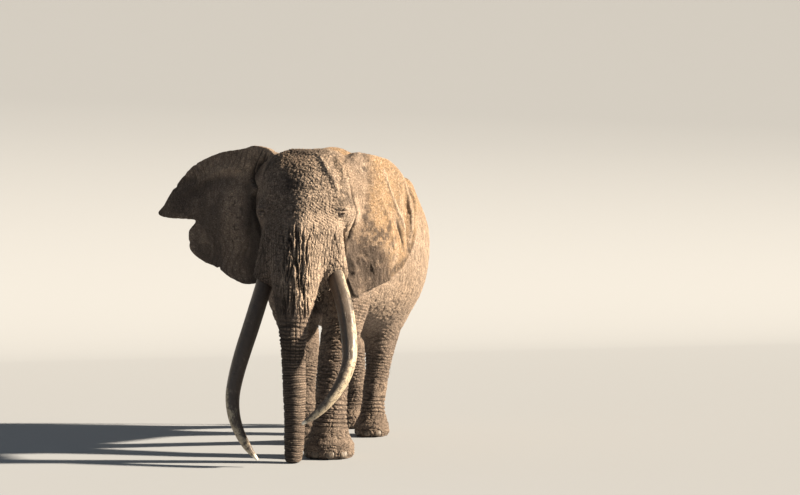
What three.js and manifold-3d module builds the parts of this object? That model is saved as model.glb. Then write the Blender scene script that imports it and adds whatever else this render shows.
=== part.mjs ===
// African savanna elephant bull in a walking stance, life size, in millimetres.
// +Z is up, the animal faces -Y and its left side is +X; the floor is z = 0.
// The soft body is one distance field of blended shapes; each node is a loft or a
// shell whose points lie where that field is zero, cut at thin seams.
import * as THREE from "three";
import { mergeVertices } from "three/addons/utils/BufferGeometryUtils.js";
import Module from "manifold-3d";

const wasm = await Module();
wasm.setup();

// ---------- driving dimensions ----------
const SEAM = 0.4; // gap between neighbouring nodes
const HEAD_YAW = 7; // degrees, the face turned towards its left
const HEAD_PIVOT = [20, -1300];
const HEAD_CENTRE = [20, -1620, 2620];
const NECK_CUT = { p: [0, -1258, 2600], n: [0, 0.945, -0.327] }; // behind the skull
const CHEST_CUT = { p: [0, -820, 2450], n: [0, 0.985, -0.17] }; // in front of the withers
const TRUNK_CUT = { p: [112, -2060, 1800], n: [0, -0.35, -0.94] }; // below the nose bridge
const BLEND = { neck: 220, leg: 160, head: 160, trunk: 100, hips: 220 };
const EYE = { level: 2585, from: [150, -1560], aim: [0.7, -0.714], radius: 21, sunk: 12 }; // seen from the middle of the head
const EAR_PLATE = { root: 40, edge: 14 }; // thickness
const FRONT_NAILS = [-52, -18, 18, 52]; // degrees from straight ahead
const HIND_NAILS = [-38, 0, 38];

// A smooth curve through rows of (key, values): cubic Hermite spans, slopes from the neighbours.
function track(rows) {
  const n = rows.length;
  const slope = rows.map((row, i) =>
    row.slice(1).map((_, j) => {
      const d = (a, b) => (rows[b][j + 1] - rows[a][j + 1]) / (rows[b][0] - rows[a][0]);
      if (i === 0) return d(0, 1);
      if (i === n - 1) return d(n - 2, n - 1);
      const h0 = rows[i][0] - rows[i - 1][0], h1 = rows[i + 1][0] - rows[i][0];
      return (d(i - 1, i) * h1 + d(i, i + 1) * h0) / (h0 + h1);
    }),
  );
  const at = (x) => {
    x = Math.min(Math.max(x, rows[0][0]), rows[n - 1][0]);
    let i = 0;
    while (i < n - 2 && x > rows[i + 1][0]) i++;
    const h = rows[i + 1][0] - rows[i][0], u = (x - rows[i][0]) / h;
    const a = 2 * u ** 3 - 3 * u ** 2 + 1, b = (u ** 3 - 2 * u ** 2 + u) * h;
    const c = 3 * u ** 2 - 2 * u ** 3, d = (u ** 3 - u ** 2) * h;
    return rows[i].slice(1).map((v, j) => a * v + b * slope[i][j] + c * rows[i + 1][j + 1] + d * slope[i + 1][j]);
  };
  at.lo = rows[0][0];
  at.hi = rows[n - 1][0];
  return at;
}

// Trunk of the body by stations along y: top, belly, widest level, half width.
const TORSO = track([
  [-1420, 2200, 2020, 2110, 60], [-1340, 2560, 1800, 2120, 250], [-1120, 2980, 1600, 2130, 420], [-850, 3260, 1500, 2150, 570],
  [-500, 3390, 1420, 2170, 700], [-100, 3320, 1330, 2200, 800], [300, 3240, 1250, 2220, 860], [700, 3260, 1220, 2250, 860],
  [1020, 3270, 1320, 2320, 780], [1300, 3160, 1500, 2340, 640], [1520, 2960, 1720, 2300, 460], [1660, 2740, 1930, 2280, 280],
  [1730, 2520, 2080, 2280, 130], [1750, 2360, 2200, 2280, 20]]);
// Columns by level z: centre x, centre y, half width, half depth.
const FL = track([
  [0, 337, -1665, 250, 255], [50, 337, -1668, 268, 272], [130, 336, -1660, 258, 262], [240, 333, -1640, 212, 222],
  [380, 326, -1600, 182, 196], [600, 322, -1540, 170, 185], [780, 322, -1500, 178, 190], [1000, 325, -1400, 190, 205],
  [1250, 335, -1280, 208, 235], [1550, 362, -1130, 235, 300], [1850, 385, -1020, 245, 350], [2200, 370, -920, 240, 360],
  [2550, 330, -850, 200, 330], [2850, 270, -800, 100, 200]]);
const FR = track([
  [0, -312, -400, 245, 255], [50, -312, -403, 260, 272], [130, -315, -410, 250, 262], [240, -325, -440, 212, 222],
  [380, -338, -500, 184, 196], [600, -335, -600, 170, 185], [780, -305, -680, 178, 190], [1000, -255, -770, 190, 205],
  [1250, -250, -860, 208, 235], [1550, -300, -940, 240, 300], [1850, -350, -970, 255, 360], [2200, -360, -950, 240, 400],
  [2550, -320, -900, 200, 360], [2850, -270, -850, 100, 200]]);
const HL = track([
  [0, 200, 530, 190, 215], [50, 200, 528, 203, 232], [130, 200, 530, 190, 220], [240, 198, 560, 158, 182],
  [380, 196, 600, 138, 162], [580, 203, 660, 136, 165], [780, 222, 700, 140, 180], [1000, 245, 700, 168, 220],
  [1250, 280, 715, 205, 310], [1500, 318, 800, 230, 430], [1800, 352, 950, 250, 530], [2150, 350, 1070, 260, 560],
  [2550, 320, 1080, 200, 450], [2900, 260, 1080, 100, 220]]);
const HR = track([
  [0, -300, 1400, 190, 215], [50, -300, 1398, 203, 232], [130, -300, 1400, 190, 220], [240, -296, 1430, 160, 182],
  [380, -290, 1460, 142, 162], [580, -285, 1460, 140, 168], [780, -285, 1400, 146, 185], [1000, -290, 1300, 172, 225],
  [1250, -310, 1220, 200, 315], [1500, -332, 1180, 228, 420], [1800, -352, 1130, 250, 510], [2150, -350, 1100, 260, 540],
  [2550, -320, 1080, 200, 450], [2900, -260, 1080, 100, 220]]);
const TRUNK = track([
  [0, 122, -2235, 74, 78], [30, 121, -2232, 86, 90], [120, 116, -2205, 99, 102], [300, 112, -2175, 109, 112],
  [600, 110, -2170, 121, 128], [900, 108, -2185, 129, 140], [1200, 108, -2205, 137, 152], [1380, 112, -2215, 156, 168],
  [1550, 118, -2210, 185, 190], [1750, 118, -2180, 228, 215], [2000, 112, -2100, 270, 240], [2250, 105, -2010, 270, 240],
  [2500, 95, -1940, 230, 200], [2750, 85, -1860, 160, 140], [2950, 80, -1780, 50, 60]]);
const FACE = track([
  [1800, 0, -1860, 300, 120], [1880, 0, -1870, 370, 180], [2000, 0, -1870, 405, 240], [2150, 0, -1840, 405, 290],
  [2350, 0, -1780, 395, 330], [2600, 0, -1700, 430, 360], [2850, 0, -1630, 430, 370], [3020, 0, -1570, 370, 330],
  [3140, 0, -1520, 280, 250], [3220, 0, -1480, 120, 110]]);
const TUSK_L = [ // x, y, z, radius
  [430, -1840, 2100, 80], [479, -1900, 1942, 86], [519, -1960, 1849, 88], [600, -2050, 1684, 88],
  [672, -2150, 1480, 86], [735, -2270, 1229, 80], [752, -2350, 1060, 74], [715, -2440, 882, 66],
  [605, -2530, 684, 54], [459, -2575, 533, 40], [324, -2590, 439, 14]];
const TUSK_R = [
  [-290, -1820, 2100, 82], [-304, -1880, 1940, 88], [-305, -1940, 1835, 90], [-334, -2050, 1626, 90],
  [-379, -2170, 1367, 88], [-425, -2290, 1111, 85], [-455, -2390, 888, 80], [-458, -2480, 687, 73],
  [-415, -2555, 509, 64], [-335, -2610, 343, 54], [-233, -2645, 197, 42], [-119, -2660, 70, 14]];
const TAIL = [
  [0, 1560, 2800, 95], [0, 1690, 2690, 85], [0, 1772, 2480, 62], [4, 1800, 2200, 46], [12, 1806, 1850, 36],
  [18, 1800, 1500, 29], [22, 1790, 1180, 24], [24, 1786, 1050, 22]];
const TUFT = [ // x, y, z, half width, half depth
  [24, 1785, 1046, 26, 26], [25, 1784, 980, 40, 48], [26, 1782, 880, 50, 66], [27, 1780, 780, 42, 62],
  [28, 1778, 690, 26, 40], [28, 1777, 630, 8, 12]];

// Ear plates: a vertical plane through root, running outward along the heading;
// the rim is radius against angle about centre (outward, level); waves bend the plate.
const EAR_R = {
  root: [-460, -1420], heading: 20, side: -1, centre: [60, 2757],
  rim: [[-88, 900], [-78, 955], [-63, 955], [-48, 990], [-36, 1110], [-28, 1150], [-18, 1100], [-11.5, 1010],
    [-8, 1300], [-5.5, 1490], [-1, 1420], [6, 1310], [13, 1205], [20, 1110], [29, 980], [40, 834], [61, 657],
    [85, 600], [105, 560], [125, 450], [150, 300], [185, 220], [225, 300], [255, 700]],
  waves: [[100, 550, 2600, 500, 600], [-50, 950, 2900, 350, 300], [60, 1300, 2620, 250, 250]],
};
const EAR_L = {
  root: [500, -1400], heading: 66.5, side: 1, centre: [30, 2586],
  rim: [[-91, 860], [-78, 841], [-62, 848], [-46, 897], [-32, 990], [-20, 1085], [-10, 1130], [0, 1130], [8, 1100],
    [16, 1060], [26, 1000], [36, 935], [46, 860], [60, 760], [76, 700], [95, 665], [110, 560], [130, 350],
    [180, 200], [230, 260], [255, 600]],
  waves: [[130, 450, 2150, 450, 500], [50, 400, 2950, 400, 350], [35, 800, 2750, 90, 400], [-30, 930, 2550, 80, 350],
    [35, 1050, 2600, 80, 350], [-60, 60, 2100, 140, 300]],
};

// ---------- distance field ----------
const smin = (a, b, k) => {
  const h = Math.max(k - Math.abs(a - b), 0) / k;
  return Math.min(a, b) - h * h * k * 0.25;
};
const smax = (a, b, k) => -smin(-a, -b, k);
const ellipsoid = (x, y, z, [cx, cy, cz], [a, b, c]) => {
  const X = (x - cx) / a, Y = (y - cy) / b, Z = (z - cz) / c;
  const k0 = Math.hypot(X, Y, Z), k1 = Math.hypot(X / a, Y / b, Z / c);
  return (k0 * (k0 - 1)) / Math.max(k1, 1e-9);
};
const cone = (x, y, z, a, b, ra, rb) => {
  const bx = b[0] - a[0], by = b[1] - a[1], bz = b[2] - a[2];
  const px = x - a[0], py = y - a[1], pz = z - a[2];
  const t = Math.min(Math.max((px * bx + py * by + pz * bz) / (bx * bx + by * by + bz * bz), 0), 1);
  return Math.hypot(px - t * bx, py - t * by, pz - t * bz) - (ra + (rb - ra) * t);
};
const section = (x, y, a, b, n) => {
  const r = Math.hypot(x, y);
  if (r < 1e-3) return -Math.min(a, b);
  return r - r / Math.pow(Math.pow(Math.abs(x) / a, n) + Math.pow(Math.abs(y) / b, n), 1 / n);
};
const column = (x, y, z, rows, n) => {
  const [cx, cy, a, b] = rows(z);
  return Math.max(section(x - cx, y - cy, a, b, n), rows.lo - z - 20, z - rows.hi);
};
function torso(x, y, z) {
  const [top, belly, wide, w] = TORSO(y);
  const up = z > wide;
  return Math.max(section(x, z - wide, w, up ? top - wide : wide - belly, up ? 1.9 : 2.25), TORSO.lo - y, y - TORSO.hi);
}
const hips = (x, y, z) => cone(Math.abs(x), y, z, [330, 950, 2860], [250, 1420, 2620], 200, 170);
const neck = (x, y, z) => cone(x / 0.86, y, z, [20, -1360, 2620], [0, -750, 2420], 480, 700);
const barrel = (x, y, z) => smin(smin(torso(x, y, z), hips(x, y, z), BLEND.hips), neck(x, y, z), BLEND.neck);
const yawC = Math.cos(THREE.MathUtils.degToRad(HEAD_YAW)), yawS = Math.sin(THREE.MathUtils.degToRad(HEAD_YAW));
const toHead = (x, y) => {
  const a = x - HEAD_PIVOT[0], b = y - HEAD_PIVOT[1];
  return [a * yawC + b * yawS, -a * yawS + b * yawC + HEAD_PIVOT[1]];
};
function skull(wx, wy, z) {
  const [x, y] = toHead(wx, wy), m = Math.abs(x);
  let d = ellipsoid(x, y, z, [0, -1400, 2850], [470, 460, 440]); // cranium
  d = smin(d, ellipsoid(m, y, z, [200, -1420, 2930], [310, 400, 360]), 100); // crown lobes
  d = smin(d, column(x, y, z, FACE, 2.5), 140); // brow to upper lip
  d = smin(d, cone(m, y, z, [435, -1300, 3080], [495, -1340, 2880], 90, 100), 90); // ear roots
  d = smin(d, ellipsoid(m, y, z, [400, -1470, 2600], [150, 250, 170]), 120); // cheekbones
  d = smin(d, ellipsoid(m, y, z, [420, -1735, 2630], [85, 120, 100]), 100); // eye sockets
  d = smin(d, cone(m, y, z, [260, -1840, 2350], [362, -1890, 1970], 160, 130), 120); // tusk sheaths
  d = smax(d, -ellipsoid(m, y, z, [620, -1620, 2870], [120, 180, 100]), 100); // temples
  return d;
}
function jaw(wx, wy, z) {
  const [x, y] = toHead(wx, wy);
  const d = cone(x, y, z, [0, -1300, 2100], [0, -1720, 1780], 240, 130);
  return smin(d, cone(x, y, z, [0, -1720, 1780], [0, -1920, 1620], 120, 70), 80);
}
const trunk = (x, y, z) => column(x, y, z, TRUNK, 2.1);
const fromHead = (x, y) => [HEAD_PIVOT[0] + x * yawC - (y - HEAD_PIVOT[1]) * yawS, HEAD_PIVOT[1] + x * yawS + (y - HEAD_PIVOT[1]) * yawC];
const headField = (x, y, z) =>
  smin(smin(barrel(x, y, z), skull(x, y, z), BLEND.head), trunk(x, y, z), BLEND.trunk);
const trunkField = (x, y, z) => smin(skull(x, y, z), trunk(x, y, z), BLEND.trunk);

// ---------- building solids ----------
// Distance from o along d to where field first passes level, no further than reach.
function cast(field, o, d, reach, level = 0) {
  const at = (t) => field(o[0] + d[0] * t, o[1] + d[1] * t, o[2] + d[2] * t) - level;
  let lo = 0, hi = 0;
  while (hi < reach) {
    lo = hi;
    hi = Math.min(hi + 24, reach);
    if (at(hi) > 0) {
      for (let i = 0; i < 22; i++) {
        const mid = (lo + hi) / 2;
        if (at(mid) > 0) hi = mid;
        else lo = mid;
      }
      return hi;
    }
  }
  return reach;
}
// How far from o along d a cut plane lets the ray run.
const toPlane = (o, d, cut, gap) => {
  const along = d[0] * cut.n[0] + d[1] * cut.n[1] + d[2] * cut.n[2];
  if (along < 1e-6) return Infinity;
  const off = (cut.p[0] - o[0]) * cut.n[0] + (cut.p[1] - o[1]) * cut.n[1] + (cut.p[2] - o[2]) * cut.n[2] - gap;
  return off / along;
};
function solidFrom(points, faces) {
  const g = new THREE.BufferGeometry();
  g.setAttribute("position", new THREE.Float32BufferAttribute(points.flat(), 3));
  g.setIndex(faces.flat());
  const m = mergeVertices(g, 1e-3);
  const index = m.index.array, keep = [];
  for (let i = 0; i < index.length; i += 3)
    if (index[i] !== index[i + 1] && index[i + 1] !== index[i + 2] && index[i] !== index[i + 2]) keep.push(index[i], index[i + 1], index[i + 2]);
  const make = (t) => new wasm.Manifold(new wasm.Mesh({ numProp: 3, vertProperties: m.attributes.position.array, triVerts: new Uint32Array(t) }));
  const s = make(keep);
  if (s.volume() > 0) return s;
  for (let i = 0; i < keep.length; i += 3) [keep[i + 1], keep[i + 2]] = [keep[i + 2], keep[i + 1]];
  return make(keep);
}
// Rings of equal count joined into a tube and closed with a fan at each end.
function loft(rings, first, last) {
  const n = rings[0].length, points = rings.flat(), faces = [];
  for (let i = 0; i < rings.length - 1; i++)
    for (let j = 0; j < n; j++) {
      const a = i * n + j, b = i * n + ((j + 1) % n), c = a + n, d = b + n;
      faces.push(...((i + j) % 2 ? [[a, b, d], [a, d, c]] : [[a, b, c], [b, d, c]]));
    }
  const cap = (centre, base, turn) => {
    const k = points.push(centre) - 1;
    for (let j = 0; j < n; j++) faces.push(turn ? [k, base + ((j + 1) % n), base + j] : [k, base + j, base + ((j + 1) % n)]);
  };
  cap(first, 0, true);
  cap(last, (rings.length - 1) * n, false);
  return solidFrom(points, faces);
}
// The main piece of a cut solid, without the crumbs and hairline edges a cut leaves.
function biggest(s) {
  const parts = s.decompose().sort((a, b) => b.volume() - a.volume());
  const m = parts[0].getMesh(), n = m.numProp, points = [], faces = [];
  for (let i = 0; i < m.numVert; i++) points.push(Array.from(m.vertProperties.subarray(i * n, i * n + 3), (v) => Math.round(v * 20) / 20));
  for (let i = 0; i < m.triVerts.length; i += 3) faces.push(Array.from(m.triVerts.subarray(i, i + 3)));
  let out;
  try {
    out = solidFrom(points, faces).decompose().sort((a, b) => b.volume() - a.volume())[0];
  } catch {
    out = parts[0];
  }
  return out;
}
// A ring of field crossings in the plane through p with normal (0, ny, nz).
function ringAt(field, p, n, count, reach, level) {
  const len = Math.hypot(n[1], n[2]), up = [0, -n[2] / len, n[1] / len];
  return Array.from({ length: count }, (_, k) => {
    const t = (2 * Math.PI * k) / count, d = [Math.cos(t), Math.sin(t) * up[1], Math.sin(t) * up[2]];
    const r = cast(field, p, d, reach, level);
    return [p[0] + d[0] * r, p[1] + d[1] * r, p[2] + d[2] * r];
  });
}
const lerp = (a, b, t) => a + (b - a) * t;
const shift = (cut, gap) => cut.p.map((v, i) => v + cut.n[i] * gap);

function makeTorso(level, gap) {
  const rings = [ringAt(barrel, shift(CHEST_CUT, gap), CHEST_CUT.n, 28, 1400, level)];
  for (const y of [-680, -520, -330, -110, 130, 380, 620, 830, 1010, 1170, 1310, 1430, 1530, 1610, 1670, 1715, 1740]) {
    const tilt = Math.max(0, (-400 - y) / 420);
    rings.push(ringAt(barrel, [0, y, lerp(2330, 2450, Math.min(1, tilt))], [0, 1, -0.17 * Math.min(1, tilt)], 28, 1400, level));
  }
  return loft(rings, shift(CHEST_CUT, gap), [0, 1752 + level, 2290]);
}
function makeNeck(level, gap) {
  const a = shift(NECK_CUT, gap), b = shift(CHEST_CUT, -gap), rings = [];
  for (let i = 0; i <= 3; i++) {
    const t = i / 3;
    rings.push(ringAt(barrel, a.map((v, j) => lerp(v, b[j], t)), NECK_CUT.n.map((v, j) => lerp(v, CHEST_CUT.n[j], t)), 28, 1400, level));
  }
  return loft(rings, a, b);
}
// The head is a shell seen from a point inside it, cut flat at the neck and the trunk.
function makeHead(level, gap) {
  const around = 30, up = 19, rings = [];
  const back = { p: NECK_CUT.p, n: NECK_CUT.n };
  const reachTo = (d) => {
    const r = Math.min(toPlane(HEAD_CENTRE, d, back, gap), toPlane(HEAD_CENTRE, d, TRUNK_CUT, gap), 1500);
    const t = cast(headField, HEAD_CENTRE, d, r, level);
    return HEAD_CENTRE.map((v, i) => v + d[i] * t);
  };
  for (let i = 1; i < up; i++) {
    const e = -Math.PI / 2 + (Math.PI * i) / up;
    rings.push(Array.from({ length: around }, (_, k) => {
      const t = (2 * Math.PI * k) / around;
      return reachTo([Math.cos(e) * Math.cos(t), Math.cos(e) * Math.sin(t), Math.sin(e)]);
    }));
  }
  return loft(rings, reachTo([0, 0, -1]), reachTo([0, 0, 1]));
}
function makeTrunk(level, gap) {
  const rings = [], steps = [0, 90, 190, 300, 430, 590, 780, 980, 1180, 1380, 1550, 1680, 1740];
  const start = shift(TRUNK_CUT, gap);
  rings.push(ringAt(trunkField, start, [0, 0.35, 0.94], 20, 420, level));
  for (const s of steps.slice(1)) {
    const z = start[2] - s, t = Math.min(1, s / 400), [cx, cy] = TRUNK(z);
    rings.push(ringAt(z > 1350 ? trunkField : trunk, [cx, cy, z], [0, lerp(0.35, 0, t), 1], 20, 420, level));
  }
  const foot = (z) => {
    const [cx, cy, a, b] = TRUNK(z);
    return Array.from({ length: 20 }, (_, k) => [cx + Math.cos((k * Math.PI) / 10) * (a + level), cy - Math.sin((k * Math.PI) / 10) * (b + level), z]);
  };
  rings.push(foot(22), foot(0));
  return loft(rings, start, [TRUNK(0)[0], TRUNK(0)[1], 0]);
}
function makeLeg(rows, levels, level = 0) {
  const count = 16;
  const full = (x, y, z) => smin(barrel(x, y, z), column(x, y, z, rows, 2.1), BLEND.leg);
  const rings = levels.map((z) => {
    const [cx, cy, a, b] = rows(z);
    return Array.from({ length: count }, (_, k) => {
      const t = (2 * Math.PI * k) / count, c = Math.cos(t), s = Math.sin(t);
      const own = 1 / Math.pow(Math.pow(Math.abs(c) / a, 2.1) + Math.pow(Math.abs(s) / b, 2.1), 1 / 2.1);
      let r = own;
      if (z > 900 && z < 1900) r = cast(full, [cx, cy, z], [c, s, 0], own + 70 * Math.min(1, (1900 - z) / 300), 0);
      return [cx + c * (r + level), cy + s * (r + level), z];
    });
  });
  const lo = levels[0], hi = levels[levels.length - 1];
  return loft(rings, [rows(lo)[0], rows(lo)[1], lo], [rows(hi)[0], rows(hi)[1], hi]);
}
// A round bar along rows of (x, y, z, radius[, radius]) smoothed through a curve.
function bar(rows, steps, count, grow = 0, tipPoint = 0) {
  const curve = new THREE.CatmullRomCurve3(rows.map((r) => new THREE.Vector3(r[0], r[1], r[2])), false, "centripetal");
  const at = (t, j) => {
    const f = t * (rows.length - 1), i = Math.min(Math.floor(f), rows.length - 2);
    return lerp(rows[i][j], rows[i + 1][j], f - i);
  };
  const rings = [];
  for (let i = 0; i <= steps; i++) {
    const t = i / steps, p = curve.getPoint(t), d = curve.getTangent(t);
    if (i === 0) p.addScaledVector(d, -grow);
    const side = new THREE.Vector3(0, 1, 0).cross(d).normalize();
    if (Math.abs(d.y) > 0.95) side.set(1, 0, 0);
    const up = d.clone().cross(side).normalize();
    const ra = at(t, 3) + grow, rb = (rows[0].length > 4 ? at(t, 4) : at(t, 3)) + grow;
    rings.push(Array.from({ length: count }, (_, k) => {
      const a = (2 * Math.PI * k) / count;
      return p.clone().addScaledVector(side, Math.cos(a) * ra).addScaledVector(up, Math.sin(a) * rb).toArray();
    }));
  }
  const end = curve.getPoint(1).addScaledVector(curve.getTangent(1), tipPoint + grow);
  return loft(rings, curve.getPoint(0).addScaledVector(curve.getTangent(0), -grow).toArray(), end.toArray());
}
function rimRadius(ear, deg) {
  const r = ear.rim, wrap = [[r[r.length - 1][0] - 360, r[r.length - 1][1]], ...r, [r[0][0] + 360, r[0][1]]];
  return track(wrap)(deg)[0];
}
function makeEar(ear, around) {
  const h = THREE.MathUtils.degToRad(ear.heading), out = [ear.side * Math.cos(h), Math.sin(h)], face = [ear.side * Math.sin(h), -Math.cos(h)];
  const place = (s, z, o) => [ear.root[0] + out[0] * s + face[0] * o, ear.root[1] + out[1] * s + face[1] * o, z];
  const bend = (s, z) => ear.waves.reduce((v, [A, s0, z0, ws, wz]) => v + A * Math.exp(-(((s - s0) / ws) ** 2) - ((z - z0) / wz) ** 2), 0);
  const angles = [...new Set([...Array.from({ length: around }, (_, k) => -88 + (k * 360) / around), ...ear.rim.map((r) => r[0])])]
    .filter((v) => v < 270).sort((a, b) => a - b).filter((v, i, all) => i === 0 || v - all[i - 1] > 2.2);
  const rings = [];
  const radii = [0.42, 0.76, 1];
  const layer = (sgn, rho) => angles.map((deg) => {
    const R = rimRadius(ear, deg) * rho, a = THREE.MathUtils.degToRad(deg);
    const s = ear.centre[0] + R * Math.cos(a), z = ear.centre[1] + R * Math.sin(a);
    return place(s, z, bend(s, z) + (sgn * lerp(EAR_PLATE.root, EAR_PLATE.edge, rho ** 1.2)) / 2);
  });
  for (const rho of radii) rings.push(layer(1, rho));
  for (const rho of [...radii].reverse()) rings.push(layer(-1, rho));
  const mid = (sgn) => place(ear.centre[0], ear.centre[1], bend(...ear.centre) + (sgn * EAR_PLATE.root) / 2);
  return loft(rings, mid(1), mid(-1));
}
// A low dome of nail let into the front of a foot.
function makeNail(rows, deg, w, h, grow) {
  const a = THREE.MathUtils.degToRad(deg), [cx, cy, rx, ry] = rows(52);
  const g = new THREE.OctahedronGeometry(1, 1);
  g.deleteAttribute("normal");
  g.deleteAttribute("uv");
  g.scale(w / 2 + grow, 30 + grow, h / 2 + grow);
  g.rotateX(-0.28).rotateZ(a);
  g.translate(cx + Math.sin(a) * (rx - 14), cy - Math.cos(a) * (ry - 14), h / 2 + 12);
  const m = mergeVertices(g, 1e-3);
  return solidFrom(Array.from({ length: m.attributes.position.count }, (_, i) => [m.attributes.position.getX(i), m.attributes.position.getY(i), m.attributes.position.getZ(i)]),
    Array.from({ length: m.index.count / 3 }, (_, i) => [m.index.array[3 * i], m.index.array[3 * i + 1], m.index.array[3 * i + 2]]));
}
function ball(c, r) {
  const g = new THREE.SphereGeometry(r, 10, 6);
  g.deleteAttribute("normal");
  g.deleteAttribute("uv");
  g.translate(...c);
  const m = mergeVertices(g, 1e-3);
  return solidFrom(Array.from({ length: m.attributes.position.count }, (_, i) => [m.attributes.position.getX(i), m.attributes.position.getY(i), m.attributes.position.getZ(i)]),
    Array.from({ length: m.index.count / 3 }, (_, i) => [m.index.array[3 * i], m.index.array[3 * i + 1], m.index.array[3 * i + 2]]));
}

// An eye sits just under the skin where a line from inside the head comes out.
function eyeCentre(side) {
  const from = fromHead(EYE.from[0] * side, EYE.from[1]), to = fromHead((EYE.from[0] + 100 * EYE.aim[0]) * side, EYE.from[1] + 100 * EYE.aim[1]);
  const d = [(to[0] - from[0]) / 100, (to[1] - from[1]) / 100, 0];
  const r = cast(headField, [from[0], from[1], EYE.level], d, 900) - EYE.sunk;
  return [from[0] + d[0] * r, from[1] + d[1] * r, EYE.level];
}

const solids = {};
const eyes = { left: eyeCentre(1), right: eyeCentre(-1) };
const torsoFat = makeTorso(SEAM, 0), neckFat = makeNeck(SEAM, 0), headFat = makeHead(SEAM, 0), trunkFat = makeTrunk(SEAM, 0);
const tuskFat = { left: bar(TUSK_L, 16, 12, 3 * SEAM, 12), right: bar(TUSK_R, 16, 12, 3 * SEAM, 12) };
solids.tusk_left = bar(TUSK_L, 16, 12, 0, 12);
solids.tusk_right = bar(TUSK_R, 16, 12, 0, 12);
solids.eye_left = ball(eyes.left, EYE.radius);
solids.eye_right = ball(eyes.right, EYE.radius);
solids.torso = makeTorso(0, SEAM);
solids.neck = makeNeck(0, SEAM);
solids.head = makeHead(0, SEAM).subtract(tuskFat.left).subtract(tuskFat.right)
  .subtract(ball(eyes.left, EYE.radius + SEAM)).subtract(ball(eyes.right, EYE.radius + SEAM));
solids.trunk = makeTrunk(0, SEAM).subtract(tuskFat.left).subtract(tuskFat.right);
solids.lower_jaw = (() => {
  const c = (p) => [...fromHead(p[0], p[1]), p[2]];
  const rows = [[0, -1300, 2100, 240], [0, -1510, 1940, 190], [0, -1720, 1780, 134], [0, -1850, 1676, 92], [0, -1925, 1616, 62], [0, -1960, 1590, 30]].map((r) => [...c(r), r[3]]);
  return biggest(bar(rows, 6, 10, 0, 10).subtract(headFat).subtract(neckFat).subtract(trunkFat).subtract(tuskFat.left).subtract(tuskFat.right));
})();
const FRONT_LEVELS = [0, 50, 140, 250, 400, 620, 880, 1150, 1400, 1620, 1900, 2250, 2600];
const HIND_LEVELS = [0, 50, 140, 250, 400, 600, 830, 1060, 1260, 1450, 1680, 1980, 2300];
const legs = { leg_front_left: [FL, FRONT_LEVELS, FRONT_NAILS, 96, 84], leg_front_right: [FR, FRONT_LEVELS, FRONT_NAILS, 96, 84],
  leg_hind_left: [HL, HIND_LEVELS, HIND_NAILS, 88, 78], leg_hind_right: [HR, HIND_LEVELS, HIND_NAILS, 88, 78] };
for (const [name, [rows, levels, nails, w, h]] of Object.entries(legs)) {
  let s = makeLeg(rows, levels).subtract(torsoFat).subtract(neckFat).subtract(headFat);
  nails.forEach((deg, i) => {
    solids[name.replace("leg", "nail") + "_" + (i + 1)] = makeNail(rows, deg, w, h, 0);
    s = s.subtract(makeNail(rows, deg, w, h, SEAM));
  });
  solids[name] = biggest(s);
}
solids.belly_sheath = biggest(bar([[0, 60, 1480, 120], [0, 160, 1360, 118], [-10, 240, 1230, 92], [-30, 300, 1130, 58], [-38, 325, 1075, 26]], 6, 12, 0, 8).subtract(torsoFat));
solids.tail = biggest(bar(TAIL, 10, 8).subtract(torsoFat));
solids.tail_tuft = bar(TUFT, 7, 8);
for (const [name, ear] of [["ear_left", EAR_L], ["ear_right", EAR_R]])
  solids[name] = biggest(makeEar(ear, 26).subtract(headFat).subtract(neckFat).subtract(torsoFat));

// ---------- nodes ----------
const SKIN = [0x8b7462, 0.9], IVORY = [0xcfc3a4, 0.45], NAIL = [0xa89a82, 0.6], EYEBALL = [0x2a1a10, 0.08], HAIR = [0x2a2420, 0.8];
const look = (name) => (name.startsWith("tusk") ? IVORY : name.startsWith("nail") ? NAIL : name.startsWith("eye") ? EYEBALL : name === "tail_tuft" ? HAIR : SKIN);
const box = new THREE.Box3();
const meshes = Object.entries(solids).map(([name, s]) => {
  const m = s.getMesh(), g = new THREE.BufferGeometry(), v = new Float32Array(m.numVert * 3);
  for (let i = 0; i < m.numVert; i++) v.set(m.vertProperties.subarray(i * m.numProp, i * m.numProp + 3), i * 3);
  g.setAttribute("position", new THREE.BufferAttribute(v, 3));
  g.setIndex(new THREE.BufferAttribute(m.triVerts, 1));
  g.computeBoundingBox();
  box.union(g.boundingBox);
  const [color, roughness] = look(name);
  const mesh = new THREE.Mesh(g, new THREE.MeshStandardMaterial({ color, roughness, metalness: 0 }));
  mesh.name = name;
  return mesh;
});
// The frame's origin is the middle of the footprint of the whole animal, on the floor.
const middle = box.getCenter(new THREE.Vector3()).round();
const root = new THREE.Group();
for (const mesh of meshes) {
  mesh.geometry.translate(-middle.x, -middle.y, 0);
  root.add(mesh);
}
export default root;
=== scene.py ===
# Looks of a life-size still model of an African savanna elephant bull, walking, dusty and deeply wrinkled.
# Metres, +Z up, the animal faces -Y. The hide is one skin: the zero surface of a field of blended shapes,
# meshed on a grid, laid onto the field and then wrinkled by named folds and noise.
import math
import bpy
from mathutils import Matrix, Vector
import numpy as np


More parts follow.
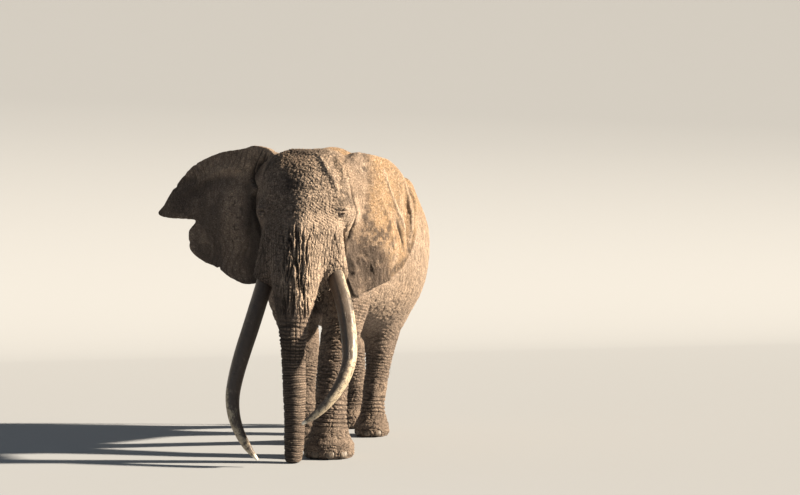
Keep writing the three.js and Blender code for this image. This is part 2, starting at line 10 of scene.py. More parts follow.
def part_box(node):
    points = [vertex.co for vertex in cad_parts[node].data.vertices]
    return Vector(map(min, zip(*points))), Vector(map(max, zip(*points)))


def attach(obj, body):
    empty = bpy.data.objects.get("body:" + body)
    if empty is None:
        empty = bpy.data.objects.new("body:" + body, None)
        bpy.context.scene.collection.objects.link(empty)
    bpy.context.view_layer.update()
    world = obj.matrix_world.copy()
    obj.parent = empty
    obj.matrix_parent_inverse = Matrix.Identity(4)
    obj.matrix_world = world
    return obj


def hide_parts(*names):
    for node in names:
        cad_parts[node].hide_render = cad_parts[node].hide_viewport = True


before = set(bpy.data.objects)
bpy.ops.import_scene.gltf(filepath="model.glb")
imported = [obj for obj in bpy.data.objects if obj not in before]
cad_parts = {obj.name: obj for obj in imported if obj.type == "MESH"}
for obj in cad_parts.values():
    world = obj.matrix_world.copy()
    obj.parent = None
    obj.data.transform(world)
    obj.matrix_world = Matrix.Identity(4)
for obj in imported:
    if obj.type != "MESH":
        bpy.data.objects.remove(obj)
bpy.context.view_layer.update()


SHIFT = np.array([0.470, 0.419, 0.0])  # from the modelling frame to the part's frame
rng = np.random.default_rng(7)
F4 = np.float32

# ------------------------------------------------------------------ field
HEAD_YAW, PIVOT = math.radians(7), (0.020, -1.300)
YC, YS = math.cos(HEAD_YAW), math.sin(HEAD_YAW)


class Track:
    """A smooth curve through rows of (key, values)."""

    def __init__(self, rows, n=600):
        r = np.array(rows, float) / 1000.0
        k, v = r[:, 0], r[:, 1:]
        s = np.diff(v, axis=0) / np.diff(k)[:, None]
        m = np.zeros_like(v)
        m[0], m[-1] = s[0], s[-1]
        h = np.diff(k)
        m[1:-1] = (s[:-1] * h[1:, None] + s[1:] * h[:-1, None]) / (h[:-1] + h[1:])[:, None]
        self.lo, self.hi = k[0], k[-1]
        self.t = np.linspace(k[0], k[-1], n)
        i = np.clip(np.searchsorted(k, self.t, side="right") - 1, 0, len(k) - 2)
        hh = h[i]
        u = ((self.t - k[i]) / hh)[:, None]
        hh = hh[:, None]
        self.v = (2 * u**3 - 3 * u**2 + 1) * v[i] + (u**3 - 2 * u**2 + u) * hh * m[i] + (3 * u**2 - 2 * u**3) * v[i + 1] + (u**3 - u**2) * hh * m[i + 1]
        self.k = (n - 1) / (k[-1] - k[0])

    def __call__(self, x):
        f = np.clip((x - self.lo) * self.k, 0, len(self.t) - 1.001)
        i = f.astype(np.int32)
        w = f - i
        return [self.v[i, j] * (1 - w) + self.v[i + 1, j] * w for j in range(self.v.shape[1])]


TORSO = Track([
    (-1420, 2200, 2020, 2110, 60), (-1340, 2560, 1800, 2120, 250), (-1120, 2980, 1600, 2130, 420), (-850, 3260, 1500, 2150, 570),
    (-500, 3390, 1420, 2170, 700), (-100, 3320, 1330, 2200, 800), (300, 3240, 1250, 2220, 860), (700, 3260, 1220, 2250, 860),
    (1020, 3270, 1320, 2320, 780), (1300, 3160, 1500, 2340, 640), (1520, 2960, 1720, 2300, 460), (1660, 2740, 1930, 2280, 280),
    (1730, 2520, 2080, 2280, 130), (1750, 2360, 2200, 2280, 20)])
FL = Track([
    (0, 337, -1665, 250, 255), (50, 337, -1668, 268, 272), (130, 336, -1660, 258, 262), (240, 333, -1640, 212, 222),
    (380, 326, -1600, 182, 196), (600, 322, -1540, 170, 185), (780, 322, -1500, 178, 190), (1000, 325, -1400, 190, 205),
    (1250, 335, -1280, 208, 235), (1550, 362, -1130, 235, 300), (1850, 385, -1020, 245, 350), (2200, 370, -920, 240, 360),
    (2550, 330, -850, 200, 330), (2850, 270, -800, 100, 200)])
FR = Track([
    (0, -312, -400, 245, 255), (50, -312, -403, 260, 272), (130, -315, -410, 250, 262), (240, -325, -440, 212, 222),
    (380, -338, -500, 184, 196), (600, -335, -600, 170, 185), (780, -305, -680, 178, 190), (1000, -255, -770, 190, 205),
    (1250, -250, -860, 208, 235), (1550, -300, -940, 240, 300), (1850, -350, -970, 255, 360), (2200, -360, -950, 240, 400),
    (2550, -320, -900, 200, 360), (2850, -270, -850, 100, 200)])
HL = Track([
    (0, 200, 530, 190, 215), (50, 200, 528, 203, 232), (130, 200, 530, 190, 220), (240, 198, 560, 158, 182),
    (380, 196, 600, 138, 162), (580, 203, 660, 136, 165), (780, 222, 700, 140, 180), (1000, 245, 700, 168, 220),
    (1250, 280, 715, 205, 310), (1500, 318, 800, 230, 430), (1800, 352, 950, 250, 530), (2150, 350, 1070, 260, 560),
    (2550, 320, 1080, 200, 450), (2900, 260, 1080, 100, 220)])
HR = Track([
    (0, -300, 1400, 190, 215), (50, -300, 1398, 203, 232), (130, -300, 1400, 190, 220), (240, -296, 1430, 160, 182),
    (380, -290, 1460, 142, 162), (580, -285, 1460, 140, 168), (780, -285, 1400, 146, 185), (1000, -290, 1300, 172, 225),
    (1250, -310, 1220, 200, 315), (1500, -332, 1180, 228, 420), (1800, -352, 1130, 250, 510), (2150, -350, 1100, 260, 540),
    (2550, -320, 1080, 200, 450), (2900, -260, 1080, 100, 220)])
LEGS = [FL, FR, HL, HR]
TRUNK = Track([
    (0, 122, -2235, 74, 78), (30, 121, -2232, 86, 90), (120, 116, -2205, 99, 102), (300, 112, -2175, 109, 112),
    (600, 110, -2170, 121, 128), (900, 108, -2185, 129, 140), (1200, 108, -2205, 137, 152), (1380, 112, -2215, 156, 168),
    (1550, 118, -2210, 185, 190), (1750, 118, -2180, 228, 215), (2000, 112, -2100, 270, 240), (2250, 105, -2010, 270, 240),
    (2500, 95, -1940, 230, 200), (2750, 85, -1860, 160, 140), (2950, 80, -1780, 50, 60)])
FACE = Track([
    (1800, 0, -1860, 300, 120), (1880, 0, -1870, 370, 180), (2000, 0, -1870, 405, 240), (2150, 0, -1840, 405, 290),
    (2350, 0, -1780, 395, 330), (2600, 0, -1700, 430, 360), (2850, 0, -1630, 430, 370), (3020, 0, -1570, 370, 330),
    (3140, 0, -1520, 280, 250), (3220, 0, -1480, 120, 110)])
TUSK_L = np.array([
    (430, -1840, 2100, 80), (479, -1900, 1942, 86), (519, -1960, 1849, 88), (600, -2050, 1684, 88),
    (672, -2150, 1480, 86), (735, -2270, 1229, 80), (752, -2350, 1060, 74), (715, -2440, 882, 66),
    (605, -2530, 684, 54), (459, -2575, 533, 40), (324, -2590, 439, 14)]) / 1000
TUSK_R = np.array([
    (-290, -1820, 2100, 82), (-304, -1880, 1940, 88), (-305, -1940, 1835, 90), (-334, -2050, 1626, 90),
    (-379, -2170, 1367, 88), (-425, -2290, 1111, 85), (-455, -2390, 888, 80), (-458, -2480, 687, 73),
    (-415, -2555, 509, 64), (-335, -2610, 343, 54), (-233, -2645, 197, 42), (-119, -2660, 70, 14)]) / 1000
TAIL = np.array([
    (0, 1560, 2800, 95), (0, 1690, 2690, 85), (0, 1772, 2480, 62), (4, 1800, 2200, 46), (12, 1806, 1850, 36),
    (18, 1800, 1500, 29), (22, 1790, 1180, 24), (24, 1786, 1050, 22)]) / 1000
SHEATH = np.array([(0, 60, 1480, 120), (0, 160, 1360, 118), (-10, 240, 1230, 92), (-30, 300, 1130, 58), (-38, 325, 1075, 26)]) / 1000


# ------------------------------------------------------------------ noise
def hash3(i, j, k, seed=0):
    h = (i.astype(np.uint32) * np.uint32(73856093)) ^ (j.astype(np.uint32) * np.uint32(19349663)) ^ (k.astype(np.uint32) * np.uint32(83492791))
    h = h ^ np.uint32((seed * 2654435761 + 12345) & 0xFFFFFFFF)
    h ^= h >> np.uint32(16)
    h *= np.uint32(0x7FEB352D)
    h ^= h >> np.uint32(15)
    h *= np.uint32(0x846CA68B)
    return h ^ (h >> np.uint32(16))


def noise(P, seed=0):
    """Smooth noise from -1 to 1."""
    P = P.astype(F4)
    B = np.floor(P)
    f = P - B
    u = f * f * (3 - 2 * f)
    I = B.astype(np.int32)
    out = np.zeros(len(P), F4)
    for a in (0, 1):
        wx = u[:, 0] if a else 1 - u[:, 0]
        for b in (0, 1):
            wy = u[:, 1] if b else 1 - u[:, 1]
            for c in (0, 1):
                wz = u[:, 2] if c else 1 - u[:, 2]
                out += wx * wy * wz * (hash3(I[:, 0] + a, I[:, 1] + b, I[:, 2] + c, seed).astype(F4) * F4(2 / 4294967295) - 1)
    return out


def fbm(P, octaves=3, seed=0):
    out, amp, tot = 0, 1.0, 0.0
    for o in range(octaves):
        out = out + amp * noise(P * (2.03**o) + 7.3 * o, seed + o)
        tot += amp
        amp *= 0.5
    return out / tot


def cells(P, seed=0, jitter=0.95):
    """How far each point is inside its cell: 0 on the crack between two cells."""
    P = P.astype(F4)
    I = np.floor(P).astype(np.int32)
    f1, f2 = np.full(len(P), 9, F4), np.full(len(P), 9, F4)
    for a in (-1, 0, 1):
        for b in (-1, 0, 1):
            for c in (-1, 0, 1):
                i, j, k = I[:, 0] + a, I[:, 1] + b, I[:, 2] + c
                h = hash3(i, j, k, seed)
                d = (i + 0.5 + jitter * ((h & np.uint32(1023)).astype(F4) / 1023 - 0.5) - P[:, 0]) ** 2
                d += (j + 0.5 + jitter * (((h >> np.uint32(10)) & np.uint32(1023)).astype(F4) / 1023 - 0.5) - P[:, 1]) ** 2
                d += (k + 0.5 + jitter * (((h >> np.uint32(20)) & np.uint32(1023)).astype(F4) / 1023 - 0.5) - P[:, 2]) ** 2
                f2 = np.minimum(f2, np.maximum(f1, d))
                f1 = np.minimum(f1, d)
    return np.sqrt(f2) - np.sqrt(f1)


def step(a, b, x):
    t = np.clip((x - a) / (b - a), 0, 1)
    return t * t * (3 - 2 * t)


def band(x, a, b, soft):
    return step(a - soft, a + soft, x) * (1 - step(b - soft, b + soft, x))


def groove(phase, width):
    """1 in the groove at each whole number, 0 between."""
    t = np.abs(phase - np.round(phase))
    return np.exp(-(t / width) ** 2)


# ------------------------------------------------------------------ ears
class Ear:
    """A plate in an upright plane through its root; rim radius against angle about a centre, bent by waves."""

    def __init__(self, root, heading, side, centre, rim, waves, seed):
        h = math.radians(heading)
        self.root, self.side, self.seed = np.array(root) / 1000, side, seed
        self.out = np.array([side * math.cos(h), math.sin(h)])
        self.face = np.array([side * math.sin(h), -math.cos(h)])
        self.c = np.array(centre) / 1000
        r = np.array(rim, float)
        k = np.r_[r[-1, 0] - 360, r[:, 0], r[0, 0] + 360]
        v = np.r_[r[-1, 1], r[:, 1], r[0, 1]] / 1000
        s, h = np.diff(v) / np.diff(k), np.diff(k)
        m = np.empty(len(k))
        m[1:-1] = (s[:-1] * h[1:] + s[1:] * h[:-1]) / (h[:-1] + h[1:])
        m[0], m[-1] = s[0], s[-1]
        self.deg = np.linspace(-90, 270, 2881)
        d = np.where(self.deg > k[-1], self.deg - 360, self.deg)
        d = np.where(d < k[0], d + 360, d)
        i = np.clip(np.searchsorted(k, d, side="right") - 1, 0, len(k) - 2)
        u, hh = (d - k[i]) / h[i], h[i]
        R = (2 * u**3 - 3 * u**2 + 1) * v[i] + (u**3 - 2 * u**2 + u) * hh * m[i] + (3 * u**2 - 2 * u**3) * v[i + 1] + (u**3 - u**2) * hh * m[i + 1]
        # a worn rim: shallow scallops and a few nicks
        t = np.radians(self.deg)
        q = np.stack([np.cos(t), np.sin(t), 0 * t + seed], -1)
        R = R * (1 - 0.006 - 0.006 * noise(q * 9, seed) - 0.004 * noise(q * 26, seed + 1))
        for at, w, depth in ((-52, 1.1, 0.024), (8 + seed % 3, 0.9, 0.018), (-24, 0.8, 0.014), (24, 0.8, 0.012)):
            R = R - depth * np.exp(-((self.deg - at) / w) ** 2)
        self.R = R
        self.slope = np.gradient(R, t)
        self.waves = np.array(waves, float) / 1000

    def local(self, x, y, z):
        """Along the plate, off the plate, rim radius there, radius, angle."""
        a, b = x - self.root[0], y - self.root[1]
        s, o = a * self.out[0] + b * self.out[1], a * self.face[0] + b * self.face[1]
        ds, dz = s - self.c[0], z - self.c[1]
        rho, t = np.hypot(ds, dz), np.degrees(np.arctan2(dz, ds))
        f = np.clip((np.where(t < -90, t + 360, t) + 90) * 8, 0, 2879.99)
        i = f.astype(np.int32)
        w = f - i
        return s, o, self.R[i] * (1 - w) + self.R[i + 1] * w, self.slope[i] * (1 - w) + self.slope[i + 1] * w, rho, t

    def bend(self, s, z, q, t):
        o = np.zeros_like(s)
        for A, s0, z0, ws, wz in self.waves:
            o += A * np.exp(-((s - s0) / ws) ** 2 - ((z - z0) / wz) ** 2)
        # slack waves towards the rim
        g = np.stack([s, 0 * s + self.seed, z], -1)
        o += 0.016 * noise(g * 2.2, self.seed + 2) * step(0.15, 0.6, q) + 0.010 * noise(g * 5.5, self.seed + 3) * step(0.3, 0.8, q)
        return o + 0.011 * np.sin(np.radians(t) * 9 + 2.0 * noise(g * 2, self.seed + 4)) * step(0.72, 1.0, q)

    def field(self, x, y, z):
        out = np.full(x.shape, 3.0, F4)
        m = (z > 1.30) & (x * self.side > 0.02) & (y < 0.20) & (y > -2.1)
        if not m.any():
            return out
        s, o, R, slope, rho, t = self.local(x[m], y[m], z[m])
        rim = (rho - R) / np.sqrt(1 + np.minimum((slope / np.maximum(rho, 0.25)) ** 2, 9))
        d = np.maximum(np.abs(o) - 0.22, rim)
        n = (d < 0.06) & (rim < 0.10)
        s, z_, q, t, o, r = s[n], z[m][n], np.clip(rho[n] / R[n], 0, 1.2), t[n], o[n], rim[n]
        half = 0.021 - 0.010 * step(0.45, 1.0, q) + 0.030 * step(0.22, -0.05, s)
        off = np.abs(o - self.bend(s, z_, q, t)) - half
        h = np.maximum(0.018 - np.abs(off - r), 0)
        d[n] = np.maximum(off, r) + h * h / 0.072
        out[m] = d
        return out


EAR_R = Ear((-460, -1420), 20, -1, (60, 2757),
            [(-88, 900), (-78, 955), (-63, 955), (-48, 990), (-36, 1110), (-28, 1150), (-18, 1100), (-11.5, 1010),
             (-8, 1300), (-5.5, 1490), (-1, 1420), (6, 1310), (13, 1205), (20, 1110), (29, 980), (40, 834), (61, 657),
             (85, 600), (105, 560), (125, 450), (150, 300), (185, 220), (225, 300), (255, 700)],
            [(100, 550, 2600, 500, 600), (-50, 950, 2900, 350, 300), (60, 1300, 2620, 250, 250)], 90)
EAR_L = Ear((500, -1400), 66.5, 1, (30, 2586),
            [(-91, 860), (-78, 841), (-62, 848), (-46, 897), (-32, 990), (-20, 1085), (-10, 1130), (0, 1130), (8, 1100),
             (16, 1060), (26, 1000), (36, 935), (46, 860), (60, 760), (76, 700), (95, 665), (110, 560), (130, 350),
             (180, 200), (230, 260), (255, 600)],
            [(130, 450, 2150, 450, 500), (50, 400, 2950, 400, 350), (35, 800, 2750, 90, 400), (-30, 930, 2550, 80, 350),
             (35, 1050, 2600, 80, 350), (-60, 60, 2100, 140, 300)], 70)
EARS = {"ear_l": EAR_L, "ear_r": EAR_R}
# lines on the ears, along the plate and up: points, width, height (below zero: a groove)
EAR_FOLDS = {
    "ear_l": [([(.36, 2.87), (.50, 2.65), (.55, 2.41), (.53, 2.21)], .035, .010), ([(.47, 3.08), (.552, 2.927), (.645, 2.787), (.721, 2.633), (.806, 2.49), (.90, 2.325)], .022, .017),
              ([(.69, 2.53), (.735, 2.411), (.78, 2.289), (.80, 2.21)], .026, -.026), ([(.84, 3.10), (.911, 2.998), (.975, 2.832), (1.00, 2.663), (1.015, 2.461), (.99, 2.30)], .022, .014),
              ([(.93, 2.95), (1.03, 2.80), (1.06, 2.607), (1.05, 2.40)], .020, -.008), ([(.80, 2.75), (.88, 2.58), (.92, 2.40), (.90, 2.25)], .028, -.010),
              ([(.06, 2.10), (.11, 2.08), (.16, 2.12)], .050, .022), ([(.22, 2.00), (.27, 2.02), (.32, 2.06)], .045, .020), ([(-.13, 2.16), (-.06, 2.08), (-.05, 1.93), (-.08, 1.86)], .055, -.046), ([(-.01, 2.12), (.03, 2.02), (.01, 1.93)], .026, .020),
              ([(.10, 3.00), (.16, 2.80), (.14, 2.60), (.08, 2.42)], .030, -.007)],
    "ear_r": [([(-.02, 3.36), (.04, 3.269), (.104, 3.173), (.150, 3.086), (.165, 2.999), (.20, 2.93)], .018, -.022), ([(-.07, 3.33), (.024, 3.20), (.095, 3.085), (.12, 2.99)], .014, -.016),
              ([(-.01, 3.36), (.05, 3.24), (.105, 3.13), (.14, 3.04)], .016, .016), ([(.05, 3.38), (.11, 3.28), (.17, 3.17), (.20, 3.06), (.21, 2.96)], .022, .014),
              ([(1.34, 2.74), (1.22, 2.82), (1.05, 2.93), (.70, 3.085), (.45, 3.11), (.30, 3.08), (.20, 2.97)], .045, .016), ([(1.25, 2.74), (1.10, 2.84), (.75, 3.00), (.40, 3.01), (.24, 2.93)], .050, -.014),
              ([(.922, 2.30), (.82, 2.325), (.72, 2.295), (.686, 2.211), (.74, 2.14)], .016, .007), ([(.12, 2.75), (.16, 2.50), (.22, 2.25), (.33, 2.05)], .030, -.016), ([(.30, 2.80), (.42, 2.50), (.46, 2.20)], .022, -.007)]}


def smin(a, b, k):
    h = np.maximum(k - np.abs(a - b), 0) / k
    return np.minimum(a, b) - h * h * k * 0.25


def smax(a, b, k):
    return -smin(-a, -b, k)


def ellipsoid(x, y, z, c, r):
    X, Y, Z = (x - c[0]) / r[0], (y - c[1]) / r[1], (z - c[2]) / r[2]
    k0 = np.sqrt(X * X + Y * Y + Z * Z)
    k1 = np.sqrt((X / r[0]) ** 2 + (Y / r[1]) ** 2 + (Z / r[2]) ** 2)
    return k0 * (k0 - 1) / np.maximum(k1, 1e-6)


def cone(x, y, z, a, b, ra, rb):
    bx, by, bz = b[0] - a[0], b[1] - a[1], b[2] - a[2]
    px, py, pz = x - a[0], y - a[1], z - a[2]
    t = np.clip((px * bx + py * by + pz * bz) / (bx * bx + by * by + bz * bz), 0, 1)
    return np.sqrt((px - t * bx) ** 2 + (py - t * by) ** 2 + (pz - t * bz) ** 2) - (ra + (rb - ra) * t)


def chain(x, y, z, rows):
    d = None
    for a, b in zip(rows[:-1], rows[1:]):
        c = cone(x, y, z, a[:3], b[:3], a[3], b[3])
        d = c if d is None else np.minimum(d, c)
    return d


def section(x, y, a, b, n):
    r = np.sqrt(x * x + y * y)
    g = ((np.abs(x) / a) ** n + (np.abs(y) / b) ** n) ** (1 / n)
    return np.where(r < 1e-5, -np.minimum(a, b), r - r / np.maximum(g, 1e-6))


def column(x, y, z, rows, n):
    cx, cy, a, b = rows(z)
    return np.maximum(section(x - cx, y - cy, a, b, n), np.maximum(rows.lo - z - 0.02, z - rows.hi))


def torso(x, y, z):
    top, belly, wide, w = TORSO(y)
    up = z > wide
    d = section(x, z - wide, w, np.where(up, top - wide, wide - belly), np.where(up, 1.9, 2.25))
    return np.maximum(d, np.maximum(TORSO.lo - y, y - TORSO.hi))


def hips(x, y, z):
    return cone(np.abs(x), y, z, (0.33, 0.95, 2.86), (0.25, 1.42, 2.62), 0.20, 0.17)


def neck(x, y, z):
    return cone(x / 0.86, y, z, (0.02, -1.36, 2.62), (0, -0.75, 2.42), 0.48, 0.70)


def to_head(x, y):
    a, b = x - PIVOT[0], y - PIVOT[1]
    return a * YC + b * YS, -a * YS + b * YC + PIVOT[1]


def from_head(x, y):
    return PIVOT[0] + x * YC - (y - PIVOT[1]) * YS, PIVOT[1] + x * YS + (y - PIVOT[1]) * YC


def skull(wx, wy, z):
    x, y = to_head(wx, wy)
    m = np.abs(x)
    d = ellipsoid(x, y, z, (0, -1.40, 2.85), (0.47, 0.46, 0.44))
    d = smin(d, ellipsoid(m, y, z, (0.20, -1.42, 2.93), (0.31, 0.40, 0.36)), 0.10)
    d = smin(d, column(x, y, z, FACE, 2.5 - 0.6 * step(2.3, 2.6, z)), 0.14)
    d = smin(d, cone(m, y, z, (0.435, -1.30, 3.08), (0.495, -1.34, 2.88), 0.09, 0.10), 0.09)
    d = smin(d, ellipsoid(m, y, z, (0.40, -1.47, 2.60), (0.15, 0.25, 0.17)), 0.12)
    d = smin(d, ellipsoid(m, y, z, (0.42, -1.735, 2.63), (0.085, 0.12, 0.10)), 0.10)
    d = smin(d, cone(m, y, z, (0.26, -1.84, 2.35), (0.362, -1.89, 1.97), 0.16, 0.130), 0.12)
    return smax(d, -ellipsoid(m, y, z, (0.62, -1.62, 2.87), (0.12, 0.18, 0.10)), 0.10)


def jaw(wx, wy, z):
    x, y = to_head(wx, wy)
    d = cone(x, y, z, (0, -1.30, 2.10), (0, -1.72, 1.78), 0.24, 0.13)
    return smin(d, cone(x, y, z, (0, -1.72, 1.78), (0, -1.92, 1.62), 0.12, 0.07), 0.08)


PARTS = ["torso", "neck", "head", "jaw", "trunk", "fl", "fr", "hl", "hr", "tail", "sheath", "ear_l", "ear_r"]


def parts_field(x, y, z):
    """The whole body's field, and each part's own."""
    p = {"torso": smin(torso(x, y, z), hips(x, y, z), 0.22), "neck": neck(x, y, z), "head": skull(x, y, z), "jaw": jaw(x, y, z),
         "trunk": column(x, y, z, TRUNK, 2.1), "tail": chain(x, y, z, TAIL), "sheath": chain(x, y, z, SHEATH)}
    for name, rows in zip(("fl", "fr", "hl", "hr"), LEGS):
        p[name] = column(x, y, z, rows, 2.1)
    d = smin(p["torso"], p["neck"], 0.22)
    for name in ("fl", "fr", "hl", "hr"):
        d = smin(d, p[name], 0.16)
    d = smin(d, p["sheath"], 0.10)
    d = smin(d, p["tail"], 0.10)
    d = smin(d, p["head"], 0.16)
    d = smin(d, p["jaw"], 0.08)
    d = smin(d, p["trunk"], 0.10)
    for name, ear in EARS.items():
        p[name] = ear.field(x, y, z)
        s = (x - ear.root[0]) * ear.out[0] + (y - ear.root[1]) * ear.out[1]
        d = smin(d, p[name], 0.030 + 0.05 * step(0.35, 0.05, s))
    return smax(d, -z, 0.03), p


def field(P, chunk=150000):
    out = np.empty(len(P), F4)
    for i in range(0, len(P), chunk):
        q = P[i:i + chunk]
        out[i:i + chunk] = parts_field(q[:, 0], q[:, 1], q[:, 2])[0]
    return out


def gradient(P, e=0.005, value=False):
    """Unit direction of the field and its slope, from four samples."""
    K = np.array([(1, -1, -1), (-1, -1, 1), (-1, 1, -1), (1, 1, 1)], float)
    g, mean = np.zeros_like(P), 0
    for k in K:
        f = field(P + k * e)
        g += k * f[:, None]
        mean = mean + f / 4
    g /= 4 * e
    s = np.linalg.norm(g, axis=1, keepdims=True)
    g = g / np.maximum(s, 1e-6)
    return (g, s[:, 0], mean) if value else (g, s[:, 0])


def lay(P, steps=2, limit=0.012):
    """Moves points onto the field's surface."""
    for _ in range(steps):
        n, s, f = gradient(P, value=True)
        P = P - n * np.clip(f / np.maximum(s, 0.35), -limit, limit)[:, None]
    return P


def nets(lo, hi, h, big=4):
    """Surface nets: one vertex for each grid cell that the surface crosses. Big cells far from it are skipped."""
    lo, H = np.array(lo, float), h * big
    nc = np.ceil((np.array(hi) - lo) / H).astype(int)
    ax = [lo[i] + H * np.arange(nc[i] + 1) for i in range(3)]
    cv = np.stack([field(np.stack(np.meshgrid([X], ax[1], ax[2], indexing="ij"), -1).reshape(-1, 3)).reshape(nc[1] + 1, nc[2] + 1) for X in ax[0]])
    offs = [(i, j, k) for i in (0, 1) for j in (0, 1) for k in (0, 1)]
    corner = [cv[o[0]:nc[0] + o[0], o[1]:nc[1] + o[1], o[2]:nc[2] + o[2]] for o in offs]
    inside = sum((c < 0).astype(np.int8) for c in corner)
    close = ((inside > 0) & (inside < 8)) | (np.minimum.reduce([np.abs(c) for c in corner]) < 0.9 * H)
    n = nc * big + 1
    grow = lambda m: np.repeat(np.repeat(np.repeat(m, big, 0), big, 1), big, 2)
    fine = grow(close)
    mask = np.zeros(n, bool)
    for o in offs:
        mask[o[0]:n[0] - 1 + o[0], o[1]:n[1] - 1 + o[1], o[2]:n[2] - 1 + o[2]] |= fine
    val = np.ones(n, F4)
    val[:-1, :-1, :-1] = np.where(grow(inside > 4), -1, 1)
    at = np.argwhere(mask)
    val[mask] = field(lo + h * at)
    s = val < 0
    c = np.zeros(n - 1, np.int8)
    for o in offs:
        c += s[o[0]:n[0] - 1 + o[0], o[1]:n[1] - 1 + o[1], o[2]:n[2] - 1 + o[2]]
    at = np.argwhere((c > 0) & (c < 8))
    idx = -np.ones(n - 1, np.int64)
    idx[tuple(at.T)] = np.arange(len(at))
    acc, cnt = np.zeros((len(at), 3)), np.zeros(len(at))
    cv = np.stack([val[tuple((at + o).T)] for o in offs], -1)
    for a in range(8):
        for b in range(a + 1, 8):
            oa, ob = np.array(offs[a]), np.array(offs[b])
            if np.abs(oa - ob).sum() != 1:
                continue
            va, vb = cv[:, a], cv[:, b]
            m = (va < 0) != (vb < 0)
            t = np.where(m, va / np.where(m, va - vb, 1), 0)
            acc += m[:, None] * (oa + t[:, None] * (ob - oa))
            cnt += m
    vert = lo + h * (at + acc / cnt[:, None])
    quads = []
    for a in range(3):
        o1, o2 = [i for i in range(3) if i != a]
        s0 = [slice(1, n[i] - 1) for i in range(3)]
        s0[a] = slice(0, n[a] - 1)
        s1 = list(s0)
        s1[a] = slice(1, n[a])
        base = np.argwhere(s[tuple(s0)] != s[tuple(s1)])
        base[:, o1] += 1
        base[:, o2] += 1
        ins = s[tuple(base.T)]
        q = []
        for d1, d2 in ((-1, -1), (0, -1), (0, 0), (-1, 0)):
            b = base.copy()
            b[:, o1] += d1
            b[:, o2] += d2
            q.append(idx[tuple(b.T)])
        q = np.stack(q, -1)
        flip = ins if a != 1 else ~ins
        q[~flip] = q[~flip][:, ::-1]
        quads.append(q)
    return vert, np.concatenate(quads)


def relax(P, Q, rounds=2, w=0.5):
    """Evens out the quads, then lays them back onto the surface."""
    for _ in range(rounds):
        acc, cnt = np.zeros_like(P), np.zeros(len(P))
        for a, b in ((0, 1), (1, 2), (2, 3), (3, 0)):
            for s, t in ((a, b), (b, a)):
                for k in range(3):
                    acc[:, k] += np.bincount(Q[:, s], P[Q[:, t], k], len(P))
                cnt += np.bincount(Q[:, s], minlength=len(P))
        P = lay(P + w * (acc / cnt[:, None] - P), 1)
    return P


def split(P, Q, chosen):
    """Cuts each chosen quad in four. Returns points, quads, and the faces next to them, which gain corners."""
    E = np.sort(np.concatenate([Q[chosen][:, [a, b]] for a, b in ((0, 1), (1, 2), (2, 3), (3, 0))]), axis=1)
    key = E[:, 0] * len(P) + E[:, 1]
    uk, inv = np.unique(key, return_inverse=True)
    ends = np.stack([uk // len(P), uk % len(P)], -1)
    mid0 = len(P)
    m = len(Q[chosen])
    mid = (mid0 + inv).reshape(4, m)
    cen0 = mid0 + len(uk)
    cen = cen0 + np.arange(m)
    q = Q[chosen]
    new = np.concatenate([
        np.stack([q[:, 0], mid[0], cen, mid[3]], -1), np.stack([mid[0], q[:, 1], mid[1], cen], -1),
        np.stack([cen, mid[1], q[:, 2], mid[2]], -1), np.stack([mid[3], cen, mid[2], q[:, 3]], -1)])
    P2 = np.concatenate([P, P[ends].mean(1), P[q].mean(1)])
    rest, odd = Q[~chosen], []
    if len(rest):
        R = np.stack([np.sort(rest[:, [a, b]], axis=1) for a, b in ((0, 1), (1, 2), (2, 3), (3, 0))], 1)
        rk = R[..., 0] * len(P) + R[..., 1]
        pos = np.minimum(np.searchsorted(uk, rk), len(uk) - 1)
        hit = uk[pos] == rk
        touched = hit.any(1)
        for f, p, hh in zip(rest[touched], pos[touched], hit[touched]):
            poly = []
            for j in range(4):
                poly.append(int(f[j]))
                if hh[j]:
                    poly.append(int(mid0 + p[j]))
            odd.append(poly)
        rest = rest[~touched]
    return P2, np.concatenate([rest, new]) if len(rest) else new, odd


# ------------------------------------------------------------------ lines
def near(P, line, chunk=200000):
    """Distance to a polyline, and how far along it from 0 to 1."""
    line = np.array(line, float)
    seg = np.linalg.norm(np.diff(line, axis=0), axis=1)
    at = np.r_[0, np.cumsum(seg)] / seg.sum()
    best, along = np.full(len(P), 9.0), np.zeros(len(P))
    for k in range(len(line) - 1):
        a, b = line[k], line[k + 1]
        ba = b - a
        t = np.clip((P - a) @ ba / (ba @ ba), 0, 1)
        d = np.linalg.norm(P - a - t[:, None] * ba, axis=1)
        m = d < best
        best[m] = d[m]
        along[m] = (at[k] + t * (at[k + 1] - at[k]))[m]
    return best, along


# ------------------------------------------------------------------ folds
def head_line(*pts):
    out = []
    for x, y, z in pts:
        a, b = from_head(x, y)
        out.append((a, b, z))
    return out


def both(*pts):
    """A line on the head's left side and its mirror."""
    return [head_line(*pts), head_line(*[(-x, y, z) for x, y, z in pts])]


# line, width, height (below zero: a groove); each fold thins towards its ends
FOLDS = []


def fold(lines, width, height, lines_are_many=True):
    for l in (lines if lines_are_many else [lines]):
        FOLDS.append((l, width, height))


